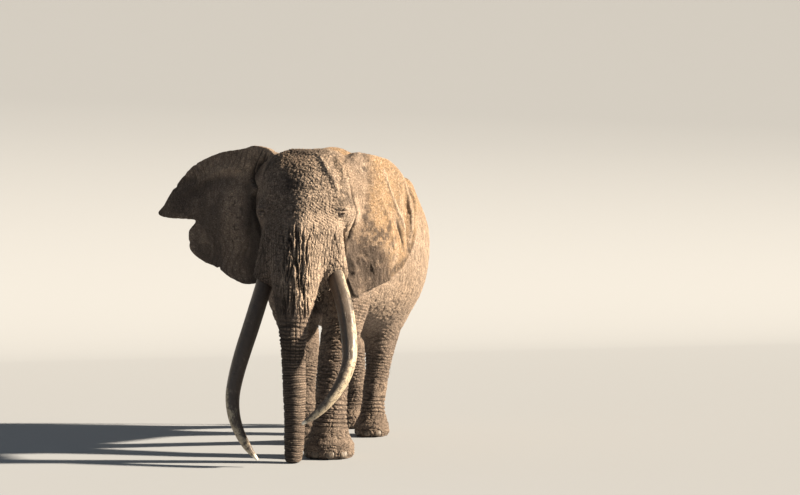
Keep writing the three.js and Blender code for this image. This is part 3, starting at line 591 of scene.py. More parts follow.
# deep grooves down the front of the trunk's root, with rolls between them
fold([head_line((-.080, -2.10, 2.56), (-.073, -2.187, 2.39), (-.038, -2.254, 2.245), (.004, -2.306, 2.121), (-.019, -2.352, 1.976), (-.045, -2.376, 1.874), (-.05, -2.38, 1.74)),
      head_line((.000, -2.13, 2.53), (.028, -2.215, 2.349), (.017, -2.266, 2.224), (.027, -2.321, 2.079), (.056, -2.36, 1.935), (.081, -2.383, 1.792), (.07, -2.38, 1.66)),
      head_line((.058, -2.15, 2.47), (.086, -2.241, 2.266), (.086, -2.297, 2.121), (.094, -2.34, 1.976), (.11, -2.37, 1.792), (.12, -2.36, 1.62)),
      head_line((.138, -2.15, 2.42), (.125, -2.228, 2.266), (.114, -2.277, 2.152), (.135, -2.30, 2.0), (.15, -2.32, 1.84)),
      head_line((-.145, -2.12, 2.45), (-.125, -2.22, 2.28), (-.10, -2.28, 2.12), (-.115, -2.33, 1.95), (-.12, -2.35, 1.78)),
      head_line((-.20, -2.10, 2.36), (-.185, -2.19, 2.20), (-.17, -2.25, 2.02), (-.18, -2.29, 1.86)),
      head_line((.20, -2.12, 2.34), (.19, -2.19, 2.18), (.18, -2.24, 2.02), (.19, -2.28, 1.86))], 0.0125, -0.020)
fold([head_line((-.038, -2.15, 2.47), (-.022, -2.24, 2.26), (.000, -2.30, 2.15)),
      head_line((.004, -2.306, 2.121), (.020, -2.33, 2.03), (.027, -2.321, 2.079)),
      head_line((-.019, -2.352, 1.976), (.012, -2.37, 1.90), (.02, -2.38, 1.76)),
      head_line((.085, -2.297, 2.121), (.060, -2.33, 2.02), (.056, -2.36, 1.935))], 0.009, -0.012)
fold([head_line((-.040, -2.13, 2.50), (-.030, -2.22, 2.31), (-.010, -2.28, 2.18), (.000, -2.33, 2.04), (.010, -2.36, 1.90), (.02, -2.38, 1.74)),
      head_line((.045, -2.16, 2.44), (.055, -2.24, 2.26), (.050, -2.30, 2.12), (.068, -2.34, 1.98), (.09, -2.375, 1.82)),
      head_line((.105, -2.17, 2.40), (.106, -2.24, 2.24), (.100, -2.29, 2.12), (.115, -2.33, 1.98))], 0.011, 0.009)
# brow ridge over the temple, and the hollow behind it
fold(both((.20, -1.75, 3.16), (.278, -1.846, 3.031), (.336, -1.871, 2.923), (.389, -1.864, 2.807), (.425, -1.845, 2.715)), 0.045, 0.010)
fold(both((.34, -1.66, 3.04), (.42, -1.72, 2.93), (.455, -1.74, 2.82)), 0.055, -0.016)
BROW = [(.20, -1.63, 3.27), (.269, -1.718, 3.164), (.358, -1.791, 3.032), (.416, -1.80, 2.925), (.465, -1.78, 2.809), (.51, -1.785, 2.702)]
fold(BROW, 0.028, 0.017, False)
fold([(.34, -1.62, 3.22), (.42, -1.67, 3.09), (.475, -1.68, 2.96), (.515, -1.67, 2.84)], 0.055, -0.037, False)
fold([(.39, -1.75, 3.02), (.405, -1.745, 2.98)], 0.014, -0.016, False)
fold([(.515, -1.72, 2.50), (.505, -1.70, 2.36), (.48, -1.70, 2.24)], 0.020, -0.014, False)
# folds from the eye down the cheek
fold(both((.36, -1.99, 2.41), (.388, -1.987, 2.31), (.419, -1.98, 2.205), (.448, -1.963, 2.121)), 0.010, -0.011)
fold(both((.405, -1.93, 2.44), (.421, -1.931, 2.331), (.442, -1.927, 2.237), (.455, -1.91, 2.15)), 0.009, -0.010)
fold(both((.435, -1.86, 2.50), (.448, -1.85, 2.40), (.452, -1.84, 2.30), (.452, -1.86, 2.20)), 0.011, -0.010)
fold(both((.380, -1.96, 2.42), (.405, -1.96, 2.32), (.430, -1.955, 2.22)), 0.012, 0.006)
fold(both((.335, -2.00, 2.50), (.30, -2.08, 2.42), (.25, -2.13, 2.36)), 0.008, -0.006)
fold(both((.31, -2.00, 2.57), (.27, -2.06, 2.49), (.22, -2.11, 2.43)), 0.008, -0.005)
fold(both((.45, -1.74, 2.44), (.455, -1.70, 2.30), (.44, -1.66, 2.18), (.41, -1.62, 2.06)), 0.016, -0.012)
fold(both((.44, -1.56, 2.42), (.45, -1.54, 2.28), (.43, -1.50, 2.12)), 0.018, -0.012)
# where the ears leave the head: a crease that deepens downwards, and the cheekbone standing over it
fold([(.44, -1.56, 3.22), (.472, -1.579, 3.137), (.52, -1.593, 2.997), (.54, -1.54, 2.90)], 0.030, -0.012, False)
fold([(.535, -1.56, 2.93), (.544, -1.52, 2.85), (.575, -1.512, 2.711), (.594, -1.481, 2.594), (.555, -1.484, 2.465), (.517, -1.506, 2.336), (.479, -1.565, 2.228), (.45, -1.60, 2.10)], 0.020, -0.038, False)
fold([(.495, -1.64, 2.86), (.530, -1.585, 2.72), (.548, -1.545, 2.594), (.515, -1.555, 2.47), (.475, -1.58, 2.34)], 0.032, 0.018, False)
fold([(-.30, -1.42, 3.33), (-.365, -1.439, 3.288), (-.454, -1.482, 3.211), (-.56, -1.441, 3.127), (-.619, -1.421, 3.031), (-.609, -1.433, 2.943), (-.559, -1.477, 2.875), (-.598, -1.448, 2.789), (-.603, -1.45, 2.69), (-.576, -1.46, 2.57), (-.524, -1.477, 2.438), (-.47, -1.50, 2.28)], 0.022, -0.040, False)
# corner of the mouth, running back under the tusk sheath
fold(both((.30, -1.95, 1.78), (.33, -1.80, 1.80), (.31, -1.66, 1.90), (.27, -1.54, 2.00)), 0.016, -0.026)
fold(both((.10, -1.93, 1.68), (.20, -1.86, 1.74), (.27, -1.72, 1.83)), 0.012, -0.016)
# throat and neck, hanging skin in front of the shoulder
for k in range(5):
    y = -1.24 + 0.105 * k
    for s in (1, -1):
        fold([(s * (0.52 + 0.035 * k), y + 0.03, 2.75), (s * (0.60 + 0.035 * k), y - 0.01, 2.45), (s * (0.56 + 0.03 * k), y - 0.05, 2.12), (s * (0.36 + 0.02 * k), y - 0.09, 1.86)], 0.020, -0.014, False)
for k in range(4):
    y = -1.42 + 0.11 * k
    fold([(-0.30, y + 0.06, 1.98), (-0.12, y, 1.86), (0.04, y - 0.01, 1.84), (0.20, y, 1.87), (0.36, y + 0.06, 1.98)], 0.018, -0.013, False)
# shoulder blade, elbow, arm pit
for s in (1, -1):
    fold([(s * 0.42, -0.42, 3.18), (s * 0.66, -0.66, 2.85), (s * 0.72, -0.86, 2.50), (s * 0.64, -1.02, 2.15)], 0.075, 0.020, False)
    fold([(s * 0.52, -0.30, 3.12), (s * 0.72, -0.44, 2.75), (s * 0.78, -0.58, 2.35), (s * 0.70, -0.68, 1.95), (s * 0.60, -0.70, 1.62)], 0.060, -0.022, False)
    for k in range(4):
        fold([(s * (0.62 + 0.03 * k), -0.60 + 0.085 * k, 2.02 - 0.05 * k), (s * (0.60 + 0.035 * k), -0.66 + 0.085 * k, 1.78), (s * (0.50 + 0.04 * k), -0.69 + 0.09 * k, 1.52)], 0.016, -0.013, False)
    # flank: the slack fold from the stifle up to the ribs, and its neighbours
    fold([(s * 0.50, 0.40, 1.42), (s * 0.66, 0.52, 1.60), (s * 0.76, 0.66, 1.86), (s * 0.79, 0.76, 2.15), (s * 0.76, 0.82, 2.45)], 0.050, -0.024, False)
    fold([(s * 0.56, 0.32, 1.46), (s * 0.72, 0.42, 1.66), (s * 0.80, 0.52, 1.92)], 0.032, 0.012, False)
    for k in range(5):
        fold([(s * 0.80, 0.30 - 0.10 * k, 2.05 - 0.02 * k), (s * 0.76, 0.25 - 0.10 * k, 1.72), (s * 0.62, 0.22 - 0.10 * k, 1.45)], 0.018, -0.008, False)
    # haunch: hip point, rump hollow, lines to the back of the thigh
    fold([(s * 0.52, 0.92, 3.08), (s * 0.56, 1.10, 2.98)], 0.09, 0.022, False)
    fold([(s * 0.44, 1.20, 2.98), (s * 0.46, 1.36, 2.70), (s * 0.44, 1.50, 2.40), (s * 0.36, 1.56, 2.12)], 0.060, -0.014, False)
    for k in range(5):
        fold([(s * (0.30 + 0.055 * k), 1.66 - 0.05 * k, 2.40), (s * (0.30 + 0.05 * k), 1.62 - 0.05 * k, 2.05), (s * (0.28 + 0.045 * k), 1.50 - 0.05 * k, 1.74), (s * (0.26 + 0.04 * k), 1.38 - 0.04 * k, 1.48)], 0.016, -0.011, False)
    # beside the tail
    fold([(s * 0.10, 1.68, 2.66), (s * 0.13, 1.72, 2.40), (s * 0.12, 1.68, 2.15), (s * 0.08, 1.60, 1.92)], 0.030, -0.022, False)
# backbone
fold([(0, -0.55, 3.42), (0, 0.0, 3.31), (0, 0.5, 3.27), (0, 1.0, 3.28), (0, 1.35, 3.10), (0, 1.55, 2.86)], 0.050, 0.012, False)


def collar(P, tusk):
    """The sheath's lip round the tusk, and the crease between them."""
    d, t = near(P, tusk[:, :3])
    r = np.interp(t, np.linspace(0, 1, len(tusk)), tusk[:, 3])
    g = d - r
    here = (t < 0.32) * np.exp(-np.maximum(t - 0.16, 0) / 0.05)
    return here * (0.016 * np.exp(-((g - 0.028) / 0.020) ** 2) - 0.012 * np.exp(-((g - 0.002) / 0.008) ** 2) - 0.006 * groove(g / 0.028 + 0.3, 0.16) * np.exp(-(g / 0.10) ** 2))


def wrinkles(P, N, parts):
    """Height of the hide over the smooth form at each point, and how dark each point is painted (0 to 1): dirt in its
    cracks, and painted shade in grooves, creases and hollows.
    """
    x, y, z = P[:, 0], P[:, 1], P[:, 2]
    hx, hy = to_head(x, y)
    H = np.stack([hx, hy, z], -1)
    w = {k: np.exp(-(np.maximum(parts[k], 0) / 0.05) ** 2) for k in PARTS}
    tot = sum(w.values())
    for k in w:
        w[k] = w[k] / np.maximum(tot, 1e-6)
    warp = np.stack([noise(P * 2.3, 1), noise(P * 2.3, 2), noise(P * 2.3, 3)], -1)
    fine_warp = np.stack([noise(P * 11, 4), noise(P * 11, 5), noise(P * 11, 6)], -1)
    big = fbm(P * 1.7, 2, 11)
    mid = fbm(P * 6.0, 2, 15)
    d = 0.008 * big + 0.003 * mid
    dirt_and_shade = np.zeros(len(P))

    legs = w["fl"] + w["fr"] + w["hl"] + w["hr"]
    headish = w["head"] + w["jaw"]
    tr = w["trunk"] * step(1.62, 1.42, z)  # the free trunk
    root = np.clip(headish + w["trunk"] - tr, 0, 1)
    body = w["torso"] + w["neck"]

    # each mark also darkens its grooves: dirt in the cracks, painted shade in creases and hollows
    def add(mask, height, depth, crack):
        nonlocal d, dirt_and_shade
        d = d + mask * height
        dirt_and_shade = np.maximum(dirt_and_shade, mask * crack * depth)

    # network of cracks, each region with its own mesh
    def mesh_of(mask, scale, seed, depth, width, warp_by=0.4, tint=0.8):
        m = mask > 0.02
        if not m.any():
            return
        c = cells(P[m] * np.array(scale) + warp_by * fine_warp[m] + 0.8 * warp[m], seed)
        g = np.exp(-(c / width) ** 2)
        full = np.zeros(len(P))
        full[m] = g
        add(mask, -depth * full, tint, full)
        dome = np.zeros(len(P))
        dome[m] = np.minimum(c, 0.5)
        add(mask, depth * 0.6 * dome, 0, 0)

    # lines that curl and run into each other, with soft swellings between them
    def curls(mask, scale, seed, depth, width, tint=0.8, warp_by=0.35, swell=0.5):
        m = mask > 0.02
        if not m.any():
            return
        n = np.abs(noise(P[m] * np.array(scale) + warp_by * fine_warp[m] + 0.7 * warp[m], seed))
        full, rise = np.zeros(len(P)), np.zeros(len(P))
        full[m] = np.exp(-(n / width) ** 2)
        rise[m] = np.clip(n / 0.5, 0, 1)
        add(mask, -depth * full + swell * depth * rise, tint, full)

    web = band(hx + 0.02 * warp[:, 0], -0.14 + 0.05 * step(2.2, 2.45, z), 0.17 - 0.08 * step(2.2, 2.45, z), 0.035) * band(z + 0.05 * warp[:, 1], 1.50, 2.50, 0.09) * step(-0.1, 0.3, -N[:, 1])  # the furrowed strip down the nose
    face = np.clip(root, 0, 1) * (1 - 0.85 * web)
    low_face = step(2.62, 2.40, z)
    curls(body * step(1.05, 1.35, z), (12, 11, 6), 21, 0.0050, 0.08, 0.25)
    curls(body, (27, 24, 14), 22, 0.0042, 0.15, 0.60)
    mesh_of(body, (26, 22, 24), 33, 0.0022, 0.20, tint=0.5)
    curls(legs, (15, 15, 31), 23, 0.0052, 0.15, 0.85)
    curls(legs, (8, 8, 17), 24, 0.0050, 0.09, 0.40)
    mesh_of(legs, (24, 24, 30), 34, 0.0022, 0.20, tint=0.5)
    curls(face * (1 - low_face), (33, 33, 34), 25, 0.0040, 0.19, 0.85)
    curls(face * (1 - low_face), (45, 45, 46), 26, 0.0032, 0.22, 0.80)
    curls(face * low_face, (30, 30, 13), 35, 0.0058, 0.16, 0.9)
    curls(face * low_face, (42, 42, 30), 36, 0.0032, 0.22, 0.7)
    mesh_of(face, (40, 40, 38), 37, 0.0020, 0.22, 0.9, 0.5)
    mesh_of(w["sheath"] + w["tail"], (30, 30, 48), 27, 0.0030, 0.2)
    # curly ridges that stand proud over the forehead and cheeks
    q = P * 32 + 0.5 * fine_warp + 0.5 * warp
    curl = np.clip(1 - np.abs(noise(q, 28)) / 0.20, 0, 1)
    add(face * step(1.75, 1.95, z), 0.0026 * curl, 0, 0)

    # slack skin of the sides hangs in long soft folds
    side = body * band(z, 1.5, 3.0, 0.2) * step(0.35, 0.6, np.abs(x))
    ph = (y + 0.16 * warp[:, 0] + 0.10 * (z - 2.2) * np.sin(2.2 * y) + 0.02 * fine_warp[:, 1]) / 0.145
    add(side * step(-0.1, 0.5, noise(P * 2.9, 31)), -0.010 * groove(ph, 0.20) + 0.004 * np.cos(2 * math.pi * ph), 0.6, groove(ph, 0.16))
    ph = (y + 0.30 * (z - 2.0) + 0.10 * warp[:, 1] + 0.02 * fine_warp[:, 0]) / 0.062
    add(side * step(0.0, 0.6, noise(P * 2.1, 32)), -0.0060 * groove(ph, 0.18), 0.6, groove(ph, 0.16))

    # the trunk's rings, finer towards the tip
    turn = np.arctan2(y - TRUNK(z)[1], x - TRUNK(z)[0])
    zz = z + 0.010 * noise(np.stack([np.cos(turn) * 1.3, np.sin(turn) * 1.3, z * 5], -1), 41) + 0.005 * fine_warp[:, 2] + 0.012 * np.sin(turn * 1.0 + 0.6) * step(0.9, 1.5, z)
    period = np.interp(z, [0, 0.5, 1.0, 1.25, 1.6], [0.020, 0.024, 0.027, 0.038, 0.050])
    grid = np.linspace(-0.3, 3.6, 3900)
    pg = np.cumsum(1 / np.interp(grid, [0, 0.5, 1.0, 1.25, 1.6], [0.020, 0.024, 0.027, 0.038, 0.050])) * (grid[1] - grid[0])
    ph = np.interp(zz, grid, pg)
    amp = 0.95 + 0.45 * noise(np.stack([turn * 0.9, 0 * turn, z * 9], -1), 42)
    ring = groove(ph, 0.30)
    # the rings' grooves are painted dark: dirt and painted shade
    add(tr, amp * (-0.0125 * (period / 0.03) * ring + 0.0026 * np.cos(2 * math.pi * ph)), 1.0, ring * np.clip(amp, 0, 1))
    big_ring = groove(ph / 3.0 + 0.25 * noise(P * 7, 43), 0.10)
    add(tr, -0.009 * big_ring, 1.0, big_ring)
    # short upright cuts that break the upper rings into beads
    ph = turn * 3.6 + 0.5 * noise(P * 9, 44)
    bead = groove(ph, 0.12) * band(z, 1.02, 1.55, 0.10) * step(0.0, 0.5, noise(P * 8, 45) + 0.25)
    add(tr, -0.008 * bead, 0.9, bead)

    # sides of the trunk's root: fine upright lines over the tusk sheaths
    front = step(-0.1, 0.35, -N[:, 1]) * band(z, 1.66, 2.46, 0.10) * root
    ph = (np.abs(hx) + 0.045 * warp[:, 0] + 0.012 * fine_warp[:, 1] + 0.02 * np.sin(7 * z)) / 0.027
    lines = groove(ph, 0.20)
    add(front * step(0.09, 0.18, np.abs(hx)), -0.0080 * lines + 0.0022 * np.cos(2 * math.pi * ph), 0.95, lines)
    # a web of long upright furrows down the middle
    mid_w = web
    mm = mid_w > 0.02
    if mm.any():
        c = cells(np.stack([hx[mm] / 0.050 + 0.55 * fine_warp[mm, 0] + 0.6 * warp[mm, 0], 0.8 * np.sin(31 * hx[mm]), z[mm] / 0.24 + 1.6 * np.sin(43 * hx[mm] + 2.0 * z[mm]) + 0.35 * fine_warp[mm, 2]], -1), 48)
        full = np.zeros(len(P))
        full[mm] = np.exp(-(c / 0.20) ** 2)
        dome = np.zeros(len(P))
        dome[mm] = np.minimum(c, 0.7)
        add(mid_w, 0.014 * full - 0.018 * np.minimum(dome, 0.5), 1.0, np.clip((dome - 0.07) / 0.24, 0, 1))
    # short cross creases over the nose bridge
    ph = (z - 0.30 * np.abs(hx) + 0.03 * warp[:, 1] + 0.008 * fine_warp[:, 0]) / 0.034
    add(root * band(z, 1.62, 2.55, 0.12) * step(0.5, 0.9, -N[:, 1]) * step(-0.3, 0.4, noise(P * 5, 47)), -0.0046 * groove(ph, 0.2), 0.7, groove(ph, 0.18))
    # forehead: slanting crow lines towards the eyes
    ph = (z + 0.55 * np.abs(hx) + 0.03 * warp[:, 2] + 0.010 * fine_warp[:, 0]) / 0.030
    add(root * band(z, 2.42, 2.72, 0.07) * band(np.abs(hx), 0.14, 0.40, 0.05), -0.0055 * groove(ph, 0.2), 0.8, groove(ph, 0.18))

    # joints of the legs: rolls at knee and ankle, skin slack at the back
    for name, rows, knee, ankle in (("fl", FL, (0.66, 0.98), (0.30, 0.62)), ("fr", FR, (0.60, 0.92), (0.26, 0.50)), ("hl", HL, (0.62, 1.00), (0.24, 0.50)), ("hr", HR, (0.62, 1.00), (0.24, 0.50))):
        cx, cy, a, b = rows(z)
        t = np.arctan2(y - cy, x - cx)
        zz = z + 0.016 * np.sin(t + 0.8) + 0.020 * noise(np.stack([np.cos(t) * 1.2, np.sin(t) * 1.2, z * 4], -1), 51) + 0.006 * fine_warp[:, 2]
        m = w[name]
        k1 = groove(zz / 0.047, 0.20)
        # the rolls' grooves are painted dark: dirt and painted shade
        add(m * band(z, *ankle, 0.06), (0.8 + 0.5 * noise(P * 6, 52)) * (-0.020 * k1 + 0.005 * np.cos(2 * math.pi * zz / 0.047)), 1.0, k1)
        k2 = groove(zz / 0.036, 0.20)
        add(m * band(z, *knee, 0.07), (0.7 + 0.6 * noise(P * 5, 53)) * (-0.013 * k2 + 0.003 * np.cos(2 * math.pi * zz / 0.036)), 0.9, k2)
        slope = 0.9 if name in ("fr", "hl") else -0.7
        ph = (z + slope * 0.35 * (x - cx) + 0.25 * (y - cy) + 0.04 * warp[:, 0] + 0.008 * fine_warp[:, 1]) / 0.033
        ph = ph + 0.45 * noise(P * 4.5, 55)
        add(m * band(z, 0.85, 1.68, 0.15) * step(-0.25, 0.35, noise(P * 5.5, 56)), -0.0070 * groove(ph, 0.20), 0.9, groove(ph, 0.18))
        # fine upright lines down to the nails
        up = t * 15 + 0.8 * noise(P * 6, 54) + 0.4 * fine_warp[:, 0]
        add(m * band(z, 0.03, 0.34, 0.05), -0.0035 * groove(up, 0.22), 0.55, groove(up, 0.20))
        # the foot: cushion over the nails, edge of the sole
        add(m, 0.008 * np.exp(-((z - 0.150) / 0.030) ** 2) - 0.008 * np.exp(-((z - 0.018) / 0.010) ** 2), 0, 0)
        fx, fy, fa, fb = [float(v[0]) for v in rows(np.array([0.052]))]
        for deg in ((-52, -18, 18, 52) if name in ("fl", "fr") else (-38, 0, 38)):
            wd, ht = (0.048, 0.042) if name in ("fl", "fr") else (0.044, 0.039)
            an = math.radians(deg)
            near_nail = (z < 0.2) & (y < fy)
            px, py = fx + math.sin(an) * fa, fy - math.cos(an) * fb
            across = (x - px) * math.cos(an) + (y - py) * math.sin(an)
            rr = np.sqrt((across / wd) ** 2 + ((z - ht - 0.012) / ht) ** 2)
            rim = np.exp(-((rr - 1.32) / 0.22) ** 2) * step(0.015, 0.05, z)
            bed = np.exp(-((rr - 1.02) / 0.12) ** 2)
            add(m * near_nail, 0.005 * rim - 0.005 * bed, 1.0, 0.8 * bed)

    # rings of the tail
    zt = z + 0.004 * fine_warp[:, 0]
    add(w["tail"] * step(2.7, 2.4, z), -0.0022 * groove(zt / 0.022, 0.22), 0.8, groove(zt / 0.022, 0.2))
    add(w["sheath"], -0.006 * groove((z + 0.5 * y + 0.01 * fine_warp[:, 1]) / 0.038, 0.18), 0.9, groove((z + 0.5 * y) / 0.038, 0.16))

    # ears: vessels that run out from the root, creases and dots, a rolled top edge
    mark = np.zeros(len(P))
    for name, ear in EARS.items():
        m = w[name] > 0.02
        if not m.any():
            continue
        p = P[m]
        s_, o_, R, _, rho, t = ear.local(*p.T)
        q = rho / R
        front = np.tanh((o_ - ear.bend(s_, p[:, 2], np.clip(q, 0, 1.2), t)) / 0.006)
        edge = R - rho
        g = np.stack([s_, 0.02 * front + ear.seed, p[:, 2]], -1)
        fw0, fw1 = noise(g * 4, ear.seed + 5), noise(g * 4, ear.seed + 6)
        far = np.hypot(s_, p[:, 2] - ear.c[1])
        ra = np.arctan2(p[:, 2] - (ear.c[1] + 0.15), s_ + 0.25)
        vein = 1 - np.abs(noise(np.stack([ra * 4.2 + 0.35 * fw0, far * 1.3 + 0.3 * fw1, front], -1), ear.seed + 7))
        vein = np.clip((vein - 0.86) / 0.14, 0, 1) ** 1.3
        vein2 = 1 - np.abs(noise(np.stack([ra * 9 + 0.5 * fw1, far * 3 + 0.5 * fw0, front + 3], -1), ear.seed + 8))
        vein2 = np.clip((vein2 - 0.90) / 0.10, 0, 1) ** 1.3
        rim_in = np.clip(edge / 0.03, 0, 1)
        out = step(0.25, 0.6, q)
        crease = groove((s_ + 0.10 * (p[:, 2] - 2.5) + 0.09 * fw0) / 0.085, 0.13) * step(0.0, 0.5, noise(g * 3.1, ear.seed + 9)) * out * rim_in
        cell = np.exp(-(cells(g * np.array([30, 1, 24]) + 0.5 * np.stack([fw0, 0 * s_, fw1], -1), ear.seed + 10) / 0.2) ** 2)
        h = (0.0050 * vein + 0.0024 * vein2) * np.where(front < 0, 1, 0.7) * rim_in - 0.005 * crease - 0.0022 * cell * rim_in
        h += 0.005 * noise(g * np.array([13, 13, 7]), ear.seed + 11) * rim_in + 0.003 * noise(g * np.array([31, 13, 26]), ear.seed + 12) * rim_in
        dark = np.maximum(0.6 * crease, 0.45 * cell)
        if name == "ear_r":  # the deep shade where it folds out from behind the head
            dark = np.maximum(dark, 0.8 * step(0.34, 0.16, s_ + 0.05 * fw0) * step(3.05, 2.85, p[:, 2]) * np.clip(front, 0, 1))
        if name == "ear_l":
            # painted shade in the hollow low at the ear's front, behind the cheek
            hollow = np.exp(-((s_ + 0.05) / 0.075) ** 2 - ((p[:, 2] - 2.03) / 0.13) ** 2) * np.clip(front, 0, 1)
            dark = np.maximum(dark, hollow * (0.75 + 0.5 * noise(g * 23, 19)))
        side = np.where(front > 0, 1, -1)
        for line, width, height in EAR_FOLDS[name]:
            e, tt = near(np.stack([s_ + 0.010 * fw0, p[:, 2] + 0.010 * fw1], -1), line)
            thin = np.clip(np.minimum(tt, 1 - tt) * 5, 0.10, 1)
            v = np.exp(-(e / (width * (0.55 + 0.45 * thin))) ** 2) * thin
            h += side * height * v * rim_in
            # deep folds are painted dark on the front: painted shade
            if height < 0:
                dark = np.maximum(dark, np.where(front > 0, v * min(1, -height / 0.016) * (1 if width < 0.03 else 0.6), 0))
        d[m] += w[name][m] * h
        dirt_and_shade[m] = np.maximum(dirt_and_shade[m], w[name][m] * dark)
        mark[m] += w[name][m] * front

    others = np.minimum.reduce([parts[k] for k in PARTS[:5]])
    for name in EARS:
        # painted shade along the crease where each ear meets the head and body, in a shallow groove
        ear_crease_painted_shade = np.exp(-(np.maximum(others, 0) / 0.022) ** 2 - (np.maximum(parts[name], 0) / 0.022) ** 2)
        add(np.ones(len(P)), -0.010 * ear_crease_painted_shade, 1.0, ear_crease_painted_shade)
        # the shadow line on the body just outside the ear's hanging edge
        beside = np.exp(-((parts[name] - 0.030) / 0.022) ** 2) * step(2.7, 2.4, z) * body
        add(beside, -0.016 * np.ones(len(P)), 1.0, np.ones(len(P)))

    # named folds
    wob = P + 0.010 * fine_warp + 0.006 * np.stack([noise(P * 27, 7), noise(P * 27, 8), noise(P * 27, 9)], -1)
    for line, width, height in FOLDS:
        L = np.array(line)
        lo, hi = L.min(0) - 4 * width - 0.05, L.max(0) + 4 * width + 0.05
        m = np.all((P > lo) & (P < hi), axis=1)
        if not m.any():
            continue
        g, t = near(wob[m], L)
        thin = np.clip(np.minimum(t, 1 - t) * 6, 0.12, 1)
        v = np.exp(-(g / (width * (0.6 + 0.4 * thin))) ** 2) * thin
        d[m] += height * v
        # narrow grooves are painted dark: dirt and painted shade
        if height < 0 and width < 0.03:
            dirt_and_shade[m] = np.maximum(dirt_and_shade[m], v * min(1.0, -height / 0.012))
    for tusk in (TUSK_L, TUSK_R):
        m = (y < -1.7) & (z < 2.2) & (z > 1.4)
        c = collar(P[m], tusk)
        d[m] += c
        dirt_and_shade[m] = np.maximum(dirt_and_shade[m], np.clip(-c / 0.010, 0, 1))
    return d, np.clip(dirt_and_shade, 0, 1), mark


